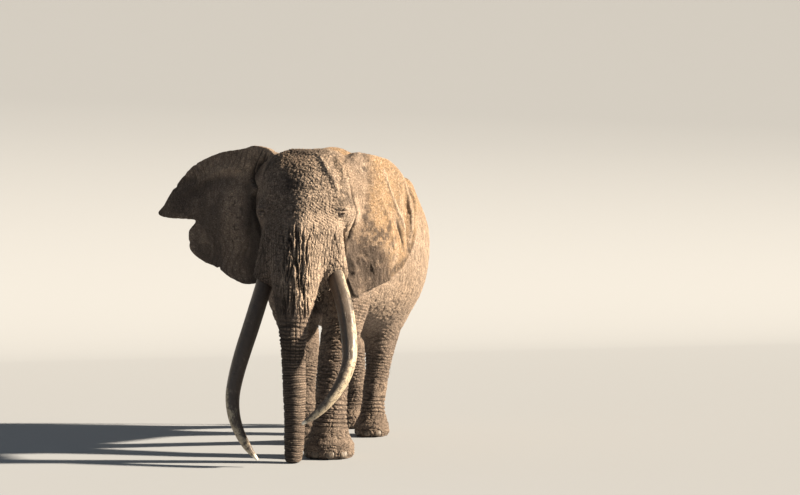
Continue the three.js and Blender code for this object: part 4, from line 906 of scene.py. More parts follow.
def tones(P, N, parts, ear_mark):
    """Where dust, dark dirt and pale dry clay lie, from 0 to 1; the dark mask also holds painted shade and the pale
    mask painted light.
    """
    x, y, z = P.T
    hx, hy = to_head(x, y)
    w = {k: np.exp(-(np.maximum(parts[k], 0) / 0.06) ** 2) for k in PARTS}
    tot = sum(w.values())
    w = {k: v / np.maximum(tot, 1e-6) for k, v in w.items()}
    blot, spots, small = fbm(P * 1.6, 3, 81), fbm(P * 5.5, 3, 82), fbm(P * 21, 2, 83)
    head = w["head"] + w["jaw"]
    body = w["torso"] + w["neck"] + w["hl"] + w["hr"] + w["fl"] + w["fr"]
    low = step(1.9, 1.0, z)
    left = step(-0.1, 0.4, x)
    dust = body * (step(2.2, 2.95, z) * (0.45 + 0.40 * left) + 0.30 * step(0.3, 0.9, N[:, 2]) + 0.15 * left) * (1 - 0.6 * low)
    dust += head * (0.55 * step(0.30, 0.40, hx) * step(2.55, 2.85, z) + 0.25 * step(2.9, 3.2, z))
    # Dark mask. Painted shade: the right half of the head and of the trunk, the side away from the sun; low on the face
    # under the cheeks; the jaw; the throat and chest under the head. Dirt: low on the legs. Also darker on the lower
    # trunk and on the sheath.
    soil_and_painted_shade = head * (0.40 * step(0.05, -0.10, hx) + 0.5 * step(2.0, 1.75, z) * step(-2.0, -1.85, y)) + w["trunk"] * (1.0 * step(0.18, 0.06, x) * step(1.9, 1.5, z) + 0.30 * step(0.1, -0.05, hx) + 0.42 * step(1.6, 1.1, z)) + 0.34 * (w["fl"] + w["fr"] + w["hl"] + w["hr"]) * step(1.7, 0.9, z) + 0.55 * w["sheath"] + 1.1 * w["jaw"] + 1.2 * (w["torso"] + w["neck"]) * step(-0.72, -0.88, y) * step(2.05, 1.90, z) * band(x, -0.50, 0.42, 0.08)
    # Pale mask. Painted light: the head's left half, towards the sun, and its left cheek. Also paler down the furrowed
    # strip of the nose, pale dust low on the legs, and the left flank paler: partly clay, partly painted light.
    clay_and_painted_light = (head + w["trunk"] * step(1.55, 1.75, z)) * (0.95 * step(0.00, 0.18, hx) * step(3.20, 2.65, z) + 0.50 * step(-0.04, 0.08, hx) + 0.85 * band(hx, 0.20, 0.50, 0.06) * band(z, 1.95, 2.62, 0.12) + 0.5 * band(hx, -0.14, 0.17, 0.03) * band(z, 1.55, 2.48, 0.08)) + 0.15 * low * (w["fl"] + w["fr"] + w["hl"] + w["hr"]) * step(0.55, 0.12, z) + 0.55 * (w["torso"] + w["neck"] + w["hl"]) * left * band(z, 1.35, 2.55, 0.3)
    others = np.minimum.reduce([parts[k] for k in PARTS[:5]])
    # painted highlight along the brow ridge
    clay_and_painted_light += 1.0 * np.exp(-(near(P, np.array(BROW))[0] / 0.038) ** 2) * (head > 0.3)
    soil_and_painted_shade = soil_and_painted_shade + head * step(2.55, 2.75, z) * 0.50 * step(0.05, 0.45, spots)
    for name, ear in EARS.items():
        m = w[name] > 0.02
        s_, o_, R, _, rho, t = ear.local(*P[m].T)
        q, front = rho / R, np.clip(ear_mark[m], 0, 1)
        if name == "ear_l":
            d_ = 0.30 + 0.70 * step(0.10, 0.42, s_ + 0.35 * (P[m, 2] - 2.5))
            # painted shade in the hollow low at the front of the ear, and over the ear's lower front behind the cheek,
            # mottled
            hole = front * np.exp(-((s_ + 0.06) / 0.085) ** 2 - ((P[m, 2] - 2.02) / 0.14) ** 2)
            s0 = front * ((0.85 + 0.9 * small[m]) * step(0.62, 0.10, s_ + 0.25 * spots[m] + 0.8 * (P[m, 2] - 2.15)) * step(2.68, 2.30, P[m, 2]) + 0.50 * step(0.7, 0.3, s_) * step(2.35, 2.10, P[m, 2]))
            # darker and speckled near the root, with less dust
            root = step(0.34, 0.16, s_ + 0.10 * spots[m]) * step(2.35, 2.65, P[m, 2])
            d_ = d_ * (1 - 0.75 * root)
            s0 = np.maximum(s0, front * root * (0.55 + 1.1 * small[m]))
            s0 = np.maximum(s0, front * step(0.74, 0.40, s_ + 0.15 * spots[m]) * step(2.70, 2.35, P[m, 2] - 0.3 * s_) * (0.42 + 1.5 * small[m] + 0.7 * spots[m]))
            s0 = np.maximum(s0, 1.6 * hole)
            # a darker band just inside the lower rim
            hem = np.exp(-(((R - rho) - 0.05) / 0.075) ** 2) * step(2.55, 2.25, P[m, 2])
            s0 = np.maximum(s0, front * hem * (0.85 + 0.5 * small[m]))
            c0 = 0.45 * step(0.35, 0.60, q) * step(-0.1, 0.4, spots[m]) * (1 - hole) * (1 - 0.9 * hem)
            # painted highlight along the raised folds, painted shade along the deep ones
            for line, width, height in EAR_FOLDS[name]:
                if height > 0.012 and line[0][0] > 0.4:
                    e, _ = near(np.stack([s_, P[m, 2]], -1), line)
                    c0 = np.maximum(c0, 0.9 * np.exp(-(e / (1.1 * width)) ** 2))
                if height < -0.02 and line[0][0] > 0.5:
                    e, _ = near(np.stack([s_, P[m, 2]], -1), line)
                    s0 = np.maximum(s0, 0.85 * np.exp(-(e / (1.1 * width)) ** 2))
        else:
            # Most of this ear's front, which faces away from the sun, is dark: painted shade, lighter in the middle,
            # with dark dots and pale scuffed lines; paler and dustier along the top edge, and a painted highlight on
            # the top edge next to the head.
            mid = np.exp(-((s_ - 0.38) / 0.20) ** 2 - ((P[m, 2] - 2.55) / 0.55) ** 2)
            top = step(2.98, 3.10, P[m, 2] + 0.1 * (s_ - 0.6) * (s_ > 0.6))
            d_ = 0.10 + 0.25 * top + 0.2 * step(1.1, 1.35, s_)
            s0 = 0.92 - 0.45 * mid - 0.35 * top + 0.1 * spots[m]
            c0 = 0.30 * mid + 0.18 * top + 0.6 * step(0.16, 0.06, s_) * step(3.10, 3.22, P[m, 2])
            dots = np.clip((noise(np.stack([s_, 0 * s_, P[m, 2]], -1) * 30, 91) - 0.45) / 0.2, 0, 1)
            s0 = np.maximum(s0, dots * (0.35 + mid))
            for line in ([(.793, 2.883), (.76, 2.792), (.783, 2.714), (.70, 2.734)], [(.922, 2.30), (.82, 2.325), (.72, 2.295), (.686, 2.211), (.76, 2.145)],
                         [(.90, 3.27), (.88, 3.24)], [(.85, 3.29), (.83, 3.25)], [(.64, 3.25), (.65, 3.20)], [(.93, 2.42), (.88, 2.34)], [(1.28, 2.86), (1.22, 2.92)]):
                e, _ = near(np.stack([s_ + 0.02 * spots[m], P[m, 2] + 0.02 * small[m]], -1), line)
                c0 = np.maximum(c0, 0.75 * np.exp(-(e / 0.020) ** 2))
        on = np.exp(-(np.maximum(parts[name][m], 0) / 0.016) ** 2) * step(-0.10, -0.02, others[m] - 0.06)
        for a, v in ((dust, d_), (soil_and_painted_shade, s0), (clay_and_painted_light, c0)):
            a[m] = a[m] * (1 - on) + on * v
    dust = np.clip(dust + 0.45 * blot * (dust > 0.05) + 0.12 * small, 0, 1)
    soil_and_painted_shade = np.clip(soil_and_painted_shade * (1 + 0.7 * spots) + 0.30 * np.clip(spots - 0.15, 0, 1) + 0.10 * small, 0, 1)
    clay_and_painted_light = np.clip(clay_and_painted_light * (1 + 0.9 * spots) + 0.22 * np.clip(-spots - 0.15, 0, 1), 0, 1)
    return dust, soil_and_painted_shade, clay_and_painted_light


# ------------------------------------------------------------------ the skin
def vertex_normals(P, faces):
    N = np.zeros_like(P)
    n = np.cross(P[faces[:, 2]] - P[faces[:, 0]], P[faces[:, 3]] - P[faces[:, 1]])
    for c in range(4):
        for k in range(3):
            N[:, k] += np.bincount(faces[:, c], n[:, k], len(P))
    return N / np.maximum(np.linalg.norm(N, axis=1, keepdims=True), 1e-12)


EYES = {}
for side in ("left", "right"):
    lo, hi = [np.array(v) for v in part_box("eye_" + side)]
    c = (lo + hi) / 2 - SHIFT
    # the skin over the ball, and the way it faces there
    n, _ = gradient(c[None], 0.03)
    n = n[0]
    n[2] *= 0.3
    n /= np.linalg.norm(n)
    p = c + n * 0.012
    fwd = np.array([-n[1], n[0], 0.0]) * (-1 if side == "left" else 1)  # towards the nose
    if fwd[1] > 0:
        fwd = -fwd
    fwd -= n * (fwd @ n)
    fwd /= np.linalg.norm(fwd)
    EYES[side] = {"c": c, "n": n, "p": p, "fwd": fwd, "up": np.cross(fwd, n) * (1 if np.cross(fwd, n)[2] > 0 else -1), "r": 0.021}


def lid_swell(r):
    """How far the lids stand over the skin, against distance from the eye's middle."""
    return 0.0135 * np.exp(-((r / 0.036) ** 2)) + 0.006 * np.exp(-((r - 0.052) / 0.020) ** 2)


def around_eye(P):
    """Swelling, folds and the hole under the lids, for the skin near an eye."""
    d, dirt_and_shade = np.zeros(len(P)), np.zeros(len(P))
    for e in EYES.values():
        q = P - e["p"]
        m = (np.linalg.norm(q, axis=1) < 0.20)
        if not m.any():
            continue
        a, b = q[m] @ e["fwd"], q[m] @ e["up"]
        r = np.hypot(a * 0.80, b)
        ang = np.arctan2(b, a)
        v = lid_swell(r)
        rr = r + 0.004 * np.sin(3 * ang + 1) + 0.003 * noise(P[m] * 30, 61)
        g = groove(rr / 0.0150 + 0.2, 0.17) * step(0.022, 0.034, r) * (1 - step(0.075, 0.12, r))
        v = v - 0.0038 * g * (0.6 + 0.4 * np.abs(np.sin(ang)))
        # the brow over the eye and the bag under it
        v += 0.012 * np.exp(-((b - 0.062) / 0.020) ** 2 - (a / 0.065) ** 2) - 0.010 * np.exp(-((b - 0.036) / 0.009) ** 2 - (a / 0.050) ** 2)
        v -= 0.009 * np.exp(-((a - 0.042 - 0.4 * b) / 0.012) ** 2 - ((b + 0.006) / 0.022) ** 2)
        v += 0.006 * np.exp(-((b + 0.052) / 0.016) ** 2 - (a / 0.050) ** 2) - 0.005 * np.exp(-((b + 0.032) / 0.008) ** 2 - (a / 0.042) ** 2)
        d[m] += v
        # the ring grooves, the crease under the brow and the groove at the front corner are painted dark: painted shade
        dirt_and_shade[m] = np.maximum(dirt_and_shade[m], np.maximum(0.8 * g, np.exp(-((b - 0.036) / 0.009) ** 2 - (a / 0.045) ** 2)))
        dirt_and_shade[m] = np.maximum(dirt_and_shade[m], 0.95 * np.exp(-((a - 0.042 - 0.4 * b) / 0.011) ** 2 - ((b + 0.006) / 0.020) ** 2))
    return d, dirt_and_shade


def under_lids(P):
    """How far the skin steps back where the lid patch covers it."""
    d = np.zeros(len(P))
    for e in EYES.values():
        q = P - e["p"]
        m = (np.linalg.norm(q, axis=1) < 0.12)
        a, b = q[m] @ e["fwd"], q[m] @ e["up"]
        r = np.hypot(a, b)
        d[m] -= 0.006 * (1 - step(0.050, 0.066, r)) + 0.028 * (1 - step(0.026, 0.040, r))
    return d


def lid_patch(e, rings=30, around=96):
    """Both lids as one ring of skin from the slit between them out over the face."""
    t = np.linspace(0, 2 * math.pi, around, endpoint=False)
    ca, sa = np.cos(t), np.sin(t)
    # the slit: pointed at both corners, the upper lid more arched, the front corner lower
    A = 0.0200
    ma = A * np.sign(ca) * np.abs(ca) ** 0.80
    arch = np.maximum(1 - (ma / A) ** 2, 0) ** 0.62
    mb = np.where(sa >= 0, 0.0118, -0.0090) * arch - 0.0022 * ma / A
    outer = 0.070
    out_a, out_b = outer * ca, outer * sa
    k = np.linspace(0, 1, rings + 1) ** 1.7
    a = ma[None] * (1 - k[:, None]) + out_a[None] * k[:, None]
    b = mb[None] * (1 - k[:, None]) + out_b[None] * k[:, None]
    gap = np.hypot(a - ma[None], b - mb[None])
    base = e["p"] + a[..., None] * e["fwd"] + b[..., None] * e["up"]
    base = lay(base.reshape(-1, 3), 3, 0.03)
    n, _ = gradient(base)
    q = base - e["p"]
    r = np.hypot(a, b).ravel()
    x, y, z = base.T
    _, parts = parts_field(x, y, z)
    dw, cw, _ = wrinkles(base, n, parts)
    de, ce = around_eye(base)
    keep = step(0.020, 0.05, r)
    top = dw * keep + de
    rel = (q @ e["n"]) + top  # height over the tangent plane
    ball = -0.012 + np.sqrt(np.maximum(e["r"] ** 2 - np.minimum(r, 0.0205) ** 2, 0))
    g = gap.ravel()
    lift = step(0, 0.0042, g)
    edge = np.maximum(ball + 0.0008, -0.004)
    want = edge + (0.0042 + 0.0050 * np.maximum(np.tile(sa, rings + 1), 0)) * np.sqrt(np.clip(g / 0.0035, 0, 1))  # a rounded margin, the upper lid thicker
    mix = step(0.003, 0.013, g)
    height = want * (1 - mix) + np.maximum(rel, ball + 0.003 * (r < 0.02)) * mix
    tang = base - (q @ e["n"])[:, None] * e["n"]
    blend = step(0.02, 0.045, r)[:, None]
    P = (tang + height[:, None] * e["n"]) * (1 - blend) + (base + n * top[:, None] - n * 0.0012 * step(0.055, 0.068, r)[:, None]) * blend
    # the wet inner rim goes in to the ball
    inner = (e["p"] + 0.97 * ma[:, None] * e["fwd"] + (0.97 * mb)[:, None] * e["up"] + (-0.012 + np.sqrt(e["r"] ** 2 - np.minimum(np.hypot(ma, mb), 0.0205) ** 2) - 0.004)[:, None] * e["n"])
    P = np.concatenate([inner, P])
    i, j = np.meshgrid(np.arange(rings + 1), np.arange(around), indexing="ij")
    v0 = (i * around + j).ravel()
    v1 = (i * around + (j + 1) % around).ravel()
    Q = np.stack([v0, v1, v1 + around, v0 + around], -1)
    nn = np.cross(P[Q[:, 1]] - P[Q[:, 0]], P[Q[:, 2]] - P[Q[:, 0]]).sum(0)
    if nn @ e["n"] < 0:
        Q = Q[:, ::-1]
    # dark at the inner rim going in to the ball and along the lid margin: dark skin and painted shade
    dirt_and_shade = np.concatenate([np.full(around, 1.0), np.maximum(np.maximum(cw * keep, ce), 1 - step(0.0, 0.0035, g))])
    wet = np.concatenate([np.full(around, 1.0), 1 - step(0.0025, 0.0085, g)])
    return P, Q, dirt_and_shade, wet


H0 = 0.0125
P, Q = nets((-2.0, -2.72, -0.06), (1.06, 1.98, 3.52), H0)
P = lay(P, 2, H0)
P = relax(P, Q, 3)
odd = []
_, parts = parts_field(*P.T)
own = np.stack([parts[k] for k in PARTS], -1).argmin(1)
fine_v = (np.isin(own, [PARTS.index(k) for k in ("head", "jaw", "trunk")]) & (P[:, 1] < -1.22)) | (own >= PARTS.index("ear_l"))
fine_v |= np.isin(own, [PARTS.index(k) for k in ("fl", "fr", "hl", "hr")]) & (P[:, 2] < np.where(own == PARTS.index("fl"), 1.7, 0.95))
P, Q, odd = split(P, Q, fine_v[Q].any(1))
P = lay(P, 1)
N = vertex_normals(P, Q)
if odd:
    N[list({v for f in odd for v in f})], _ = gradient(P[list({v for f in odd for v in f})])
_, parts = parts_field(*P.T)
disp, dirt_and_shade, ear_mark = wrinkles(P, N, parts)
de, ce = around_eye(P)
for e in EYES.values():
    calm = 0.25 + 0.75 * step(0.035, 0.13, np.linalg.norm(P - e["p"], axis=1))
    disp, dirt_and_shade = disp * calm, dirt_and_shade * calm
TONES = [tones(P, N, parts, ear_mark)]
P = P + N * (disp + de + under_lids(P))[:, None]
P[:, 2] = np.maximum(P[:, 2], 0.0)
dirt_and_shade = np.maximum(dirt_and_shade, ce)
faces = [Q]
count = len(P)
bits = [(P, dirt_and_shade, ear_mark, np.zeros(len(P)))]
for side in ("left", "right"):
    p, q, c, w_ = lid_patch(EYES[side])
    faces.append(q + count)
    count += len(p)
    bits.append((p, c, np.zeros(len(p)), w_))
    TONES.append(tones(p, p * 0, parts_field(*p.T)[1], np.zeros(len(p))))
SKIN_P = np.concatenate([b[0] for b in bits])
SKIN_DIRT_AND_SHADE, SKIN_EAR, SKIN_WET = (np.concatenate([b[i] for b in bits]) for i in (1, 2, 3))
SKIN_Q = np.concatenate(faces)


def mesh_object(name, points, quads, extra=(), smooth=True):
    """An object from points in the modelling frame; quads and a few longer faces."""
    me = bpy.data.meshes.new(name)
    pts = np.asarray(points, float) + SHIFT
    quads = np.asarray(quads)
    me.vertices.add(len(pts))
    me.vertices.foreach_set("co", pts.astype(F4).ravel())
    k = quads.shape[1]
    loops = [quads.ravel()] + [np.array(f) for f in extra]
    sizes = np.r_[np.full(len(quads), k), [len(f) for f in extra]].astype(int)
    starts = np.r_[0, np.cumsum(sizes)[:-1]]
    me.loops.add(int(sizes.sum()))
    me.loops.foreach_set("vertex_index", np.concatenate(loops).astype(np.int32))
    me.polygons.add(len(sizes))
    me.polygons.foreach_set("loop_start", starts.astype(np.int32))
    me.polygons.foreach_set("loop_total", sizes.astype(np.int32))
    me.polygons.foreach_set("use_smooth", np.full(len(sizes), smooth))
    me.update(calc_edges=True)
    me.validate()
    ob = bpy.data.objects.new(name, me)
    bpy.context.scene.collection.objects.link(ob)
    return ob


def paint(ob, name, values):
    a = ob.data.attributes.new(name, "FLOAT", "POINT")
    a.data.foreach_set("value", np.asarray(values, F4))


skin = mesh_object("skin", SKIN_P, SKIN_Q, odd)
# the crack mask: dirt in cracks, and painted shade in grooves, creases, hollows, at the ear roots and round the eyes
paint(skin, "crack", SKIN_DIRT_AND_SHADE)
paint(skin, "ear", SKIN_EAR)
paint(skin, "wet", SKIN_WET)
for i, name in enumerate(("dust", "soil_and_painted_shade", "clay_and_painted_light")):
    paint(skin, name, np.concatenate([t[i] for t in TONES]))


# ------------------------------------------------------------------ materials
class Nodes:
    """Short forms for building a shader."""

    def __init__(self, name):
        self.m = bpy.data.materials.new(name)
        self.m.use_nodes = True
        self.t = self.m.node_tree
        self.t.nodes.clear()
        self.out = self.t.nodes.new("ShaderNodeOutputMaterial")
        self.b = self.t.nodes.new("ShaderNodeBsdfPrincipled")
        self.t.links.new(self.b.outputs[0], self.out.inputs[0])
        self.co = self.t.nodes.new("ShaderNodeTexCoord").outputs["Object"]

    def put(self, socket, v):
        if isinstance(v, bpy.types.NodeSocket):
            self.t.links.new(v, socket)
        else:
            socket.default_value = v

    def math(self, op, a, b=None, clamp=False):
        n = self.t.nodes.new("ShaderNodeMath")
        n.operation, n.use_clamp = op, clamp
        self.put(n.inputs[0], a)
        if b is not None:
            self.put(n.inputs[1], b)
        return n.outputs[0]

    def vec(self, op, a, b=None, out=0):
        n = self.t.nodes.new("ShaderNodeVectorMath")
        n.operation = op
        self.put(n.inputs[0], a)
        if b is not None:
            self.put(n.inputs["Scale"] if op == "SCALE" else n.inputs[1], b)
        return n.outputs[out]

    def noise(self, scale, detail=3.0, rough=0.55, co=None):
        n = self.t.nodes.new("ShaderNodeTexNoise")
        self.put(n.inputs["Vector"], co or self.co)
        n.inputs["Scale"].default_value, n.inputs["Detail"].default_value, n.inputs["Roughness"].default_value = scale, detail, rough
        return n.outputs["Fac"]

    def warp(self, scale, amount, co=None):
        n = self.t.nodes.new("ShaderNodeTexNoise")
        self.put(n.inputs["Vector"], co or self.co)
        n.inputs["Scale"].default_value, n.inputs["Detail"].default_value = scale, 2.0
        v = self.vec("SUBTRACT", n.outputs["Color"], (0.5, 0.5, 0.5))
        return self.vec("ADD", co or self.co, self.vec("SCALE", v, amount))

    def cracks(self, scale, co=None):
        n = self.t.nodes.new("ShaderNodeTexVoronoi")
        n.feature = "DISTANCE_TO_EDGE"
        self.put(n.inputs["Vector"], co or self.co)
        n.inputs["Scale"].default_value = scale
        return n.outputs["Distance"]

    def scaled(self, v, co=None):
        n = self.t.nodes.new("ShaderNodeMapping")
        self.put(n.inputs["Vector"], co or self.co)
        n.inputs["Scale"].default_value = v
        return n.outputs[0]

    def ramp(self, fac, stops, interp="LINEAR"):
        n = self.t.nodes.new("ShaderNodeValToRGB")
        n.color_ramp.interpolation = interp
        e = n.color_ramp.elements
        while len(e) < len(stops):
            e.new(0.5)
        for i, (p, c) in enumerate(stops):
            e[i].position = p
            e[i].color = (*c, 1) if isinstance(c, tuple) else (c, c, c, 1)
        self.put(n.inputs[0], fac)
        return n.outputs[0]

    def fit(self, v, a, b, c=0.0, d=1.0):
        n = self.t.nodes.new("ShaderNodeMapRange")
        n.interpolation_type = "SMOOTHSTEP"
        self.put(n.inputs[0], v)
        for i, x in enumerate((a, b, c, d)):
            n.inputs[1 + i].default_value = x
        return n.outputs[0]

    def mix(self, fac, a, b, kind="MIX"):
        n = self.t.nodes.new("ShaderNodeMix")
        n.data_type, n.blend_type = "RGBA", kind
        self.put(n.inputs["Factor"], fac)
        for s, v in ((n.inputs[6], a), (n.inputs[7], b)):
            self.put(s, v if isinstance(v, bpy.types.NodeSocket) else (*v, 1))
        return n.outputs[2]

    def attr(self, name):
        n = self.t.nodes.new("ShaderNodeAttribute")
        n.attribute_name = name
        return n.outputs["Fac"]

    def xyz(self, v):
        n = self.t.nodes.new("ShaderNodeSeparateXYZ")
        self.put(n.inputs[0], v)
        return n.outputs

    def bump(self, height, strength, distance, normal=None):
        n = self.t.nodes.new("ShaderNodeBump")
        n.inputs["Strength"].default_value, n.inputs["Distance"].default_value = strength, distance
        self.put(n.inputs["Height"], height)
        if normal is not None:
            self.put(n.inputs["Normal"], normal)
        return n.outputs[0]


def hide_material():
    s = Nodes("hide")
    crack, ear, wet, dust, soil_and_painted_shade, clay_and_painted_light = (s.attr(n) for n in ("crack", "ear", "wet", "dust", "soil_and_painted_shade", "clay_and_painted_light"))
    w1, w2 = s.warp(11, 0.06), s.warp(32, 0.018)
    net = s.cracks(40, w1)  # scales of 2 to 3 cm
    grain = s.cracks(100, w2)  # and of 1 cm
    speck, blotch, mottle = s.noise(210, 2), s.noise(2.2, 4, 0.6), s.noise(16, 4, 0.68)
    base = s.mix(blotch, (0.210, 0.156, 0.126), (0.305, 0.232, 0.186))
    base = s.mix(dust, base, (0.390, 0.250, 0.135))
    # pale clay, which also holds painted light on the side of the head towards the sun, its cheek, the brow ridge and
    # the left flank
    base = s.mix(s.math("MULTIPLY", clay_and_painted_light, 0.85), base, (0.610, 0.470, 0.362))
    # dark dirt, which also holds painted shade over the shaded side of the head and trunk, under the jaw, in the ear's
    # hollows and over the right ear
    base = s.mix(s.math("MULTIPLY", soil_and_painted_shade, 0.85), base, (0.052, 0.038, 0.032))
    base = s.mix(s.fit(mottle, 0.52, 0.70, 0, 0.55), base, (0.105, 0.082, 0.068))
    base = s.mix(s.math("MULTIPLY", s.fit(mottle, 0.46, 0.30, 0, 0.35), s.math("SUBTRACT", 1.0, s.math("MULTIPLY", soil_and_painted_shade, 0.75))), base, (0.450, 0.365, 0.290))
    fleck = s.noise(70, 2, 0.7)
    base = s.mix(s.fit(fleck, 0.53, 0.66, 0, 0.50), base, (0.080, 0.062, 0.052))
    base = s.mix(s.math("MULTIPLY", s.fit(fleck, 0.47, 0.34, 0, 0.55), s.math("SUBTRACT", 1.0, s.math("MULTIPLY", soil_and_painted_shade, 0.8))), base, (0.560, 0.455, 0.355))
    # fine lines that curl, over the scales
    curly = s.math("ABSOLUTE", s.math("SUBTRACT", s.noise(38, 2, 0.5, w2), 0.5), 0.0)
    # cracks and grooves dark: dirt, and painted shade from the crack mask; tops of the scales pale: worn dust, partly
    # painted highlight
    dark = s.math("MAXIMUM", s.math("MULTIPLY", crack, 0.97), s.math("MAXIMUM", s.fit(curly, 0.028, 0.0, 0, 0.75), s.math("MAXIMUM", s.fit(net, 0.08, 0.0, 0, 0.40), s.fit(grain, 0.07, 0.0, 0, 0.35))))
    pale = s.math("MULTIPLY", s.fit(net, 0.14, 0.42, 0, 0.42), s.math("SUBTRACT", s.math("SUBTRACT", 1.0, crack), s.math("MULTIPLY", soil_and_painted_shade, 0.6)), True)
    col = s.mix(pale, base, (0.560, 0.450, 0.345))
    col = s.mix(dark, col, (0.019, 0.013, 0.010))
    col = s.mix(s.math("MULTIPLY", s.fit(speck, 0.56, 0.75, 0, 0.25), s.math("SUBTRACT", 1.0, s.math("MULTIPLY", soil_and_painted_shade, 0.7))), col, (0.600, 0.500, 0.400))
    col = s.mix(wet, col, (0.030, 0.020, 0.017))
    s.put(s.b.inputs["Base Color"], col)
    rough = s.math("SUBTRACT", s.fit(mottle, 0.2, 0.8, 0.72, 0.94), s.math("MULTIPLY", wet, 0.5), True)
    s.put(s.b.inputs["Roughness"], rough)
    s.b.inputs["Specular IOR Level"].default_value = 0.3
    h = s.math("ADD", s.math("MULTIPLY", s.fit(net, 0.0, 0.16), 0.35), s.math("MULTIPLY", s.fit(grain, 0.0, 0.16), 0.28))
    h = s.math("ADD", h, s.math("MULTIPLY", s.fit(curly, 0.0, 0.06), 0.75))
    h = s.math("ADD", h, s.math("MULTIPLY", speck, 0.16))
    h = s.math("MULTIPLY", h, s.math("SUBTRACT", 1.0, s.math("MULTIPLY", wet, 0.9)))
    s.put(s.b.inputs["Normal"], s.bump(h, 1.0, 0.0055))
    return s.m


def ivory_material():
    s = Nodes("ivory")
    along, ring, out = s.attr("along"), s.attr("ring"), s.attr("outer")
    stretch = s.t.nodes.new("ShaderNodeCombineXYZ")
    s.put(stretch.inputs[0], s.math("MULTIPLY", ring, 7.0))
    s.put(stretch.inputs[1], s.math("MULTIPLY", along, 5.0))
    lines = s.noise(1.6, 4, 0.6, stretch.outputs[0])
    mud = s.noise(9, 4, 0.65)
    fleck = s.noise(60, 3, 0.6)
    cream = s.mix(lines, (0.350, 0.270, 0.170), (0.480, 0.425, 0.325))
    brown = s.mix(mud, (0.038, 0.028, 0.022), (0.115, 0.085, 0.064))
    # stained at the root and on the inner face, worn clean on the outer curve and towards the tip
    clean = s.math("ADD", s.math("MULTIPLY", s.math("MULTIPLY", s.fit(along, 0.40, 0.95), 0.42), s.fit(out, 0.20, 0.60, 0.35, 1.0)), s.math("MULTIPLY", s.fit(out, 0.50, 0.95), 0.62))
    clean = s.math("ADD", clean, s.math("MULTIPLY", s.math("SUBTRACT", mud, 0.5), 2.2))
    clean = s.math("ADD", clean, s.math("MULTIPLY", s.math("SUBTRACT", lines, 0.5), 0.9))
    col = s.mix(s.fit(clean, 0.30, 0.72), brown, cream)
    col = s.mix(s.fit(s.noise(26, 3, 0.7), 0.53, 0.62, 0, 0.80), col, (0.060, 0.044, 0.034))
    crack = s.fit(s.cracks(5.0, s.vec("ADD", stretch.outputs[0], s.vec("SCALE", s.co, 0.6))), 0.04, 0.0, 0, 0.85)
    col = s.mix(crack, col, (0.035, 0.024, 0.018))
    col = s.mix(s.fit(fleck, 0.56, 0.63, 0, 0.75), col, (0.040, 0.028, 0.022))
    tip = s.fit(along, 0.965, 0.985, 0, 0.8)
    col = s.mix(tip, col, (0.800, 0.760, 0.660))
    s.put(s.b.inputs["Base Color"], col)
    s.put(s.b.inputs["Roughness"], s.fit(mud, 0.3, 0.7, 0.34, 0.60))
    s.b.inputs["Coat Weight"].default_value = 0.08
    s.put(s.b.inputs["Normal"], s.bump(s.math("SUBTRACT", s.math("ADD", s.math("MULTIPLY", lines, 0.5), s.math("MULTIPLY", fleck, 0.3)), crack), 0.6, 0.002))
    return s.m


def nail_material():
    s = Nodes("nail")
    x, y, z = s.xyz(s.co)
    n = s.noise(110, 4, 0.6, s.scaled((1, 1, 0.12)))
    m = s.noise(22, 3)
    col = s.mix(s.fit(n, 0.35, 0.65), (0.040, 0.031, 0.025), (0.150, 0.118, 0.090))
    col = s.mix(s.fit(z, 0.045, 0.012, 0, 0.7), col, (0.150, 0.112, 0.082))
    col = s.mix(s.fit(m, 0.56, 0.70, 0, 0.5), col, (0.150, 0.110, 0.085))
    s.put(s.b.inputs["Base Color"], col)
    s.put(s.b.inputs["Roughness"], s.fit(m, 0.3, 0.7, 0.45, 0.70))
    s.put(s.b.inputs["Normal"], s.bump(n, 0.5, 0.002))
    return s.m


def hair_material():
    s = Nodes("hair")
    n = s.noise(90, 2)
    s.put(s.b.inputs["Base Color"], s.mix(n, (0.020, 0.015, 0.012), (0.060, 0.045, 0.034)))
    s.b.inputs["Roughness"].default_value = 0.45
    s.put(s.b.inputs["Normal"], s.bump(n, 0.2, 0.0005))
    return s.m


def bristle_material():
    s = Nodes("bristle")
    n = s.noise(90, 2)
    s.put(s.b.inputs["Base Color"], s.mix(n, (0.260, 0.200, 0.150), (0.560, 0.480, 0.390)))
    s.b.inputs["Roughness"].default_value = 0.5
    s.put(s.b.inputs["Normal"], s.bump(n, 0.2, 0.0005))
    return s.m


def eye_material():
    s = Nodes("eyeball")
    off = s.attr("off")  # angle from the pupil's axis, in radians
    turn = s.attr("turn")
    rays = s.t.nodes.new("ShaderNodeCombineXYZ")
    s.put(rays.inputs[0], s.math("MULTIPLY", turn, 9.0))
    s.put(rays.inputs[1], s.math("MULTIPLY", off, 4.0))
    fibre = s.noise(2.2, 3, 0.6, rays.outputs[0])
    iris = s.mix(fibre, (0.034, 0.016, 0.007), (0.120, 0.062, 0.025))
    iris = s.mix(s.fit(off, 0.52, 0.66, 0, 0.85), iris, (0.030, 0.016, 0.010))
    col = s.mix(s.fit(off, 0.66, 0.74), iris, s.mix(fibre, (0.045, 0.032, 0.027), (0.100, 0.076, 0.062)))
    col = s.mix(s.fit(off, 0.24, 0.19), col, (0.003, 0.002, 0.002))
    s.put(s.b.inputs["Base Color"], col)
    s.b.inputs["Roughness"].default_value = 0.12
    s.b.inputs["Coat Weight"].default_value = 1.0
    s.b.inputs["Coat Roughness"].default_value = 0.04
    s.put(s.b.inputs["Normal"], s.bump(fibre, 0.1, 0.0003))
    return s.m


MATS = {"skin": hide_material(), "ivory": ivory_material(), "nail": nail_material(), "hair": hair_material(), "bristle": bristle_material(), "eye": eye_material()}


def finish_piece(ob, mat, nodes=()):
    ob.data.materials.clear()
    ob.data.materials.append(MATS[mat])
    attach(ob, "root")
    if nodes:
        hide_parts(*nodes)


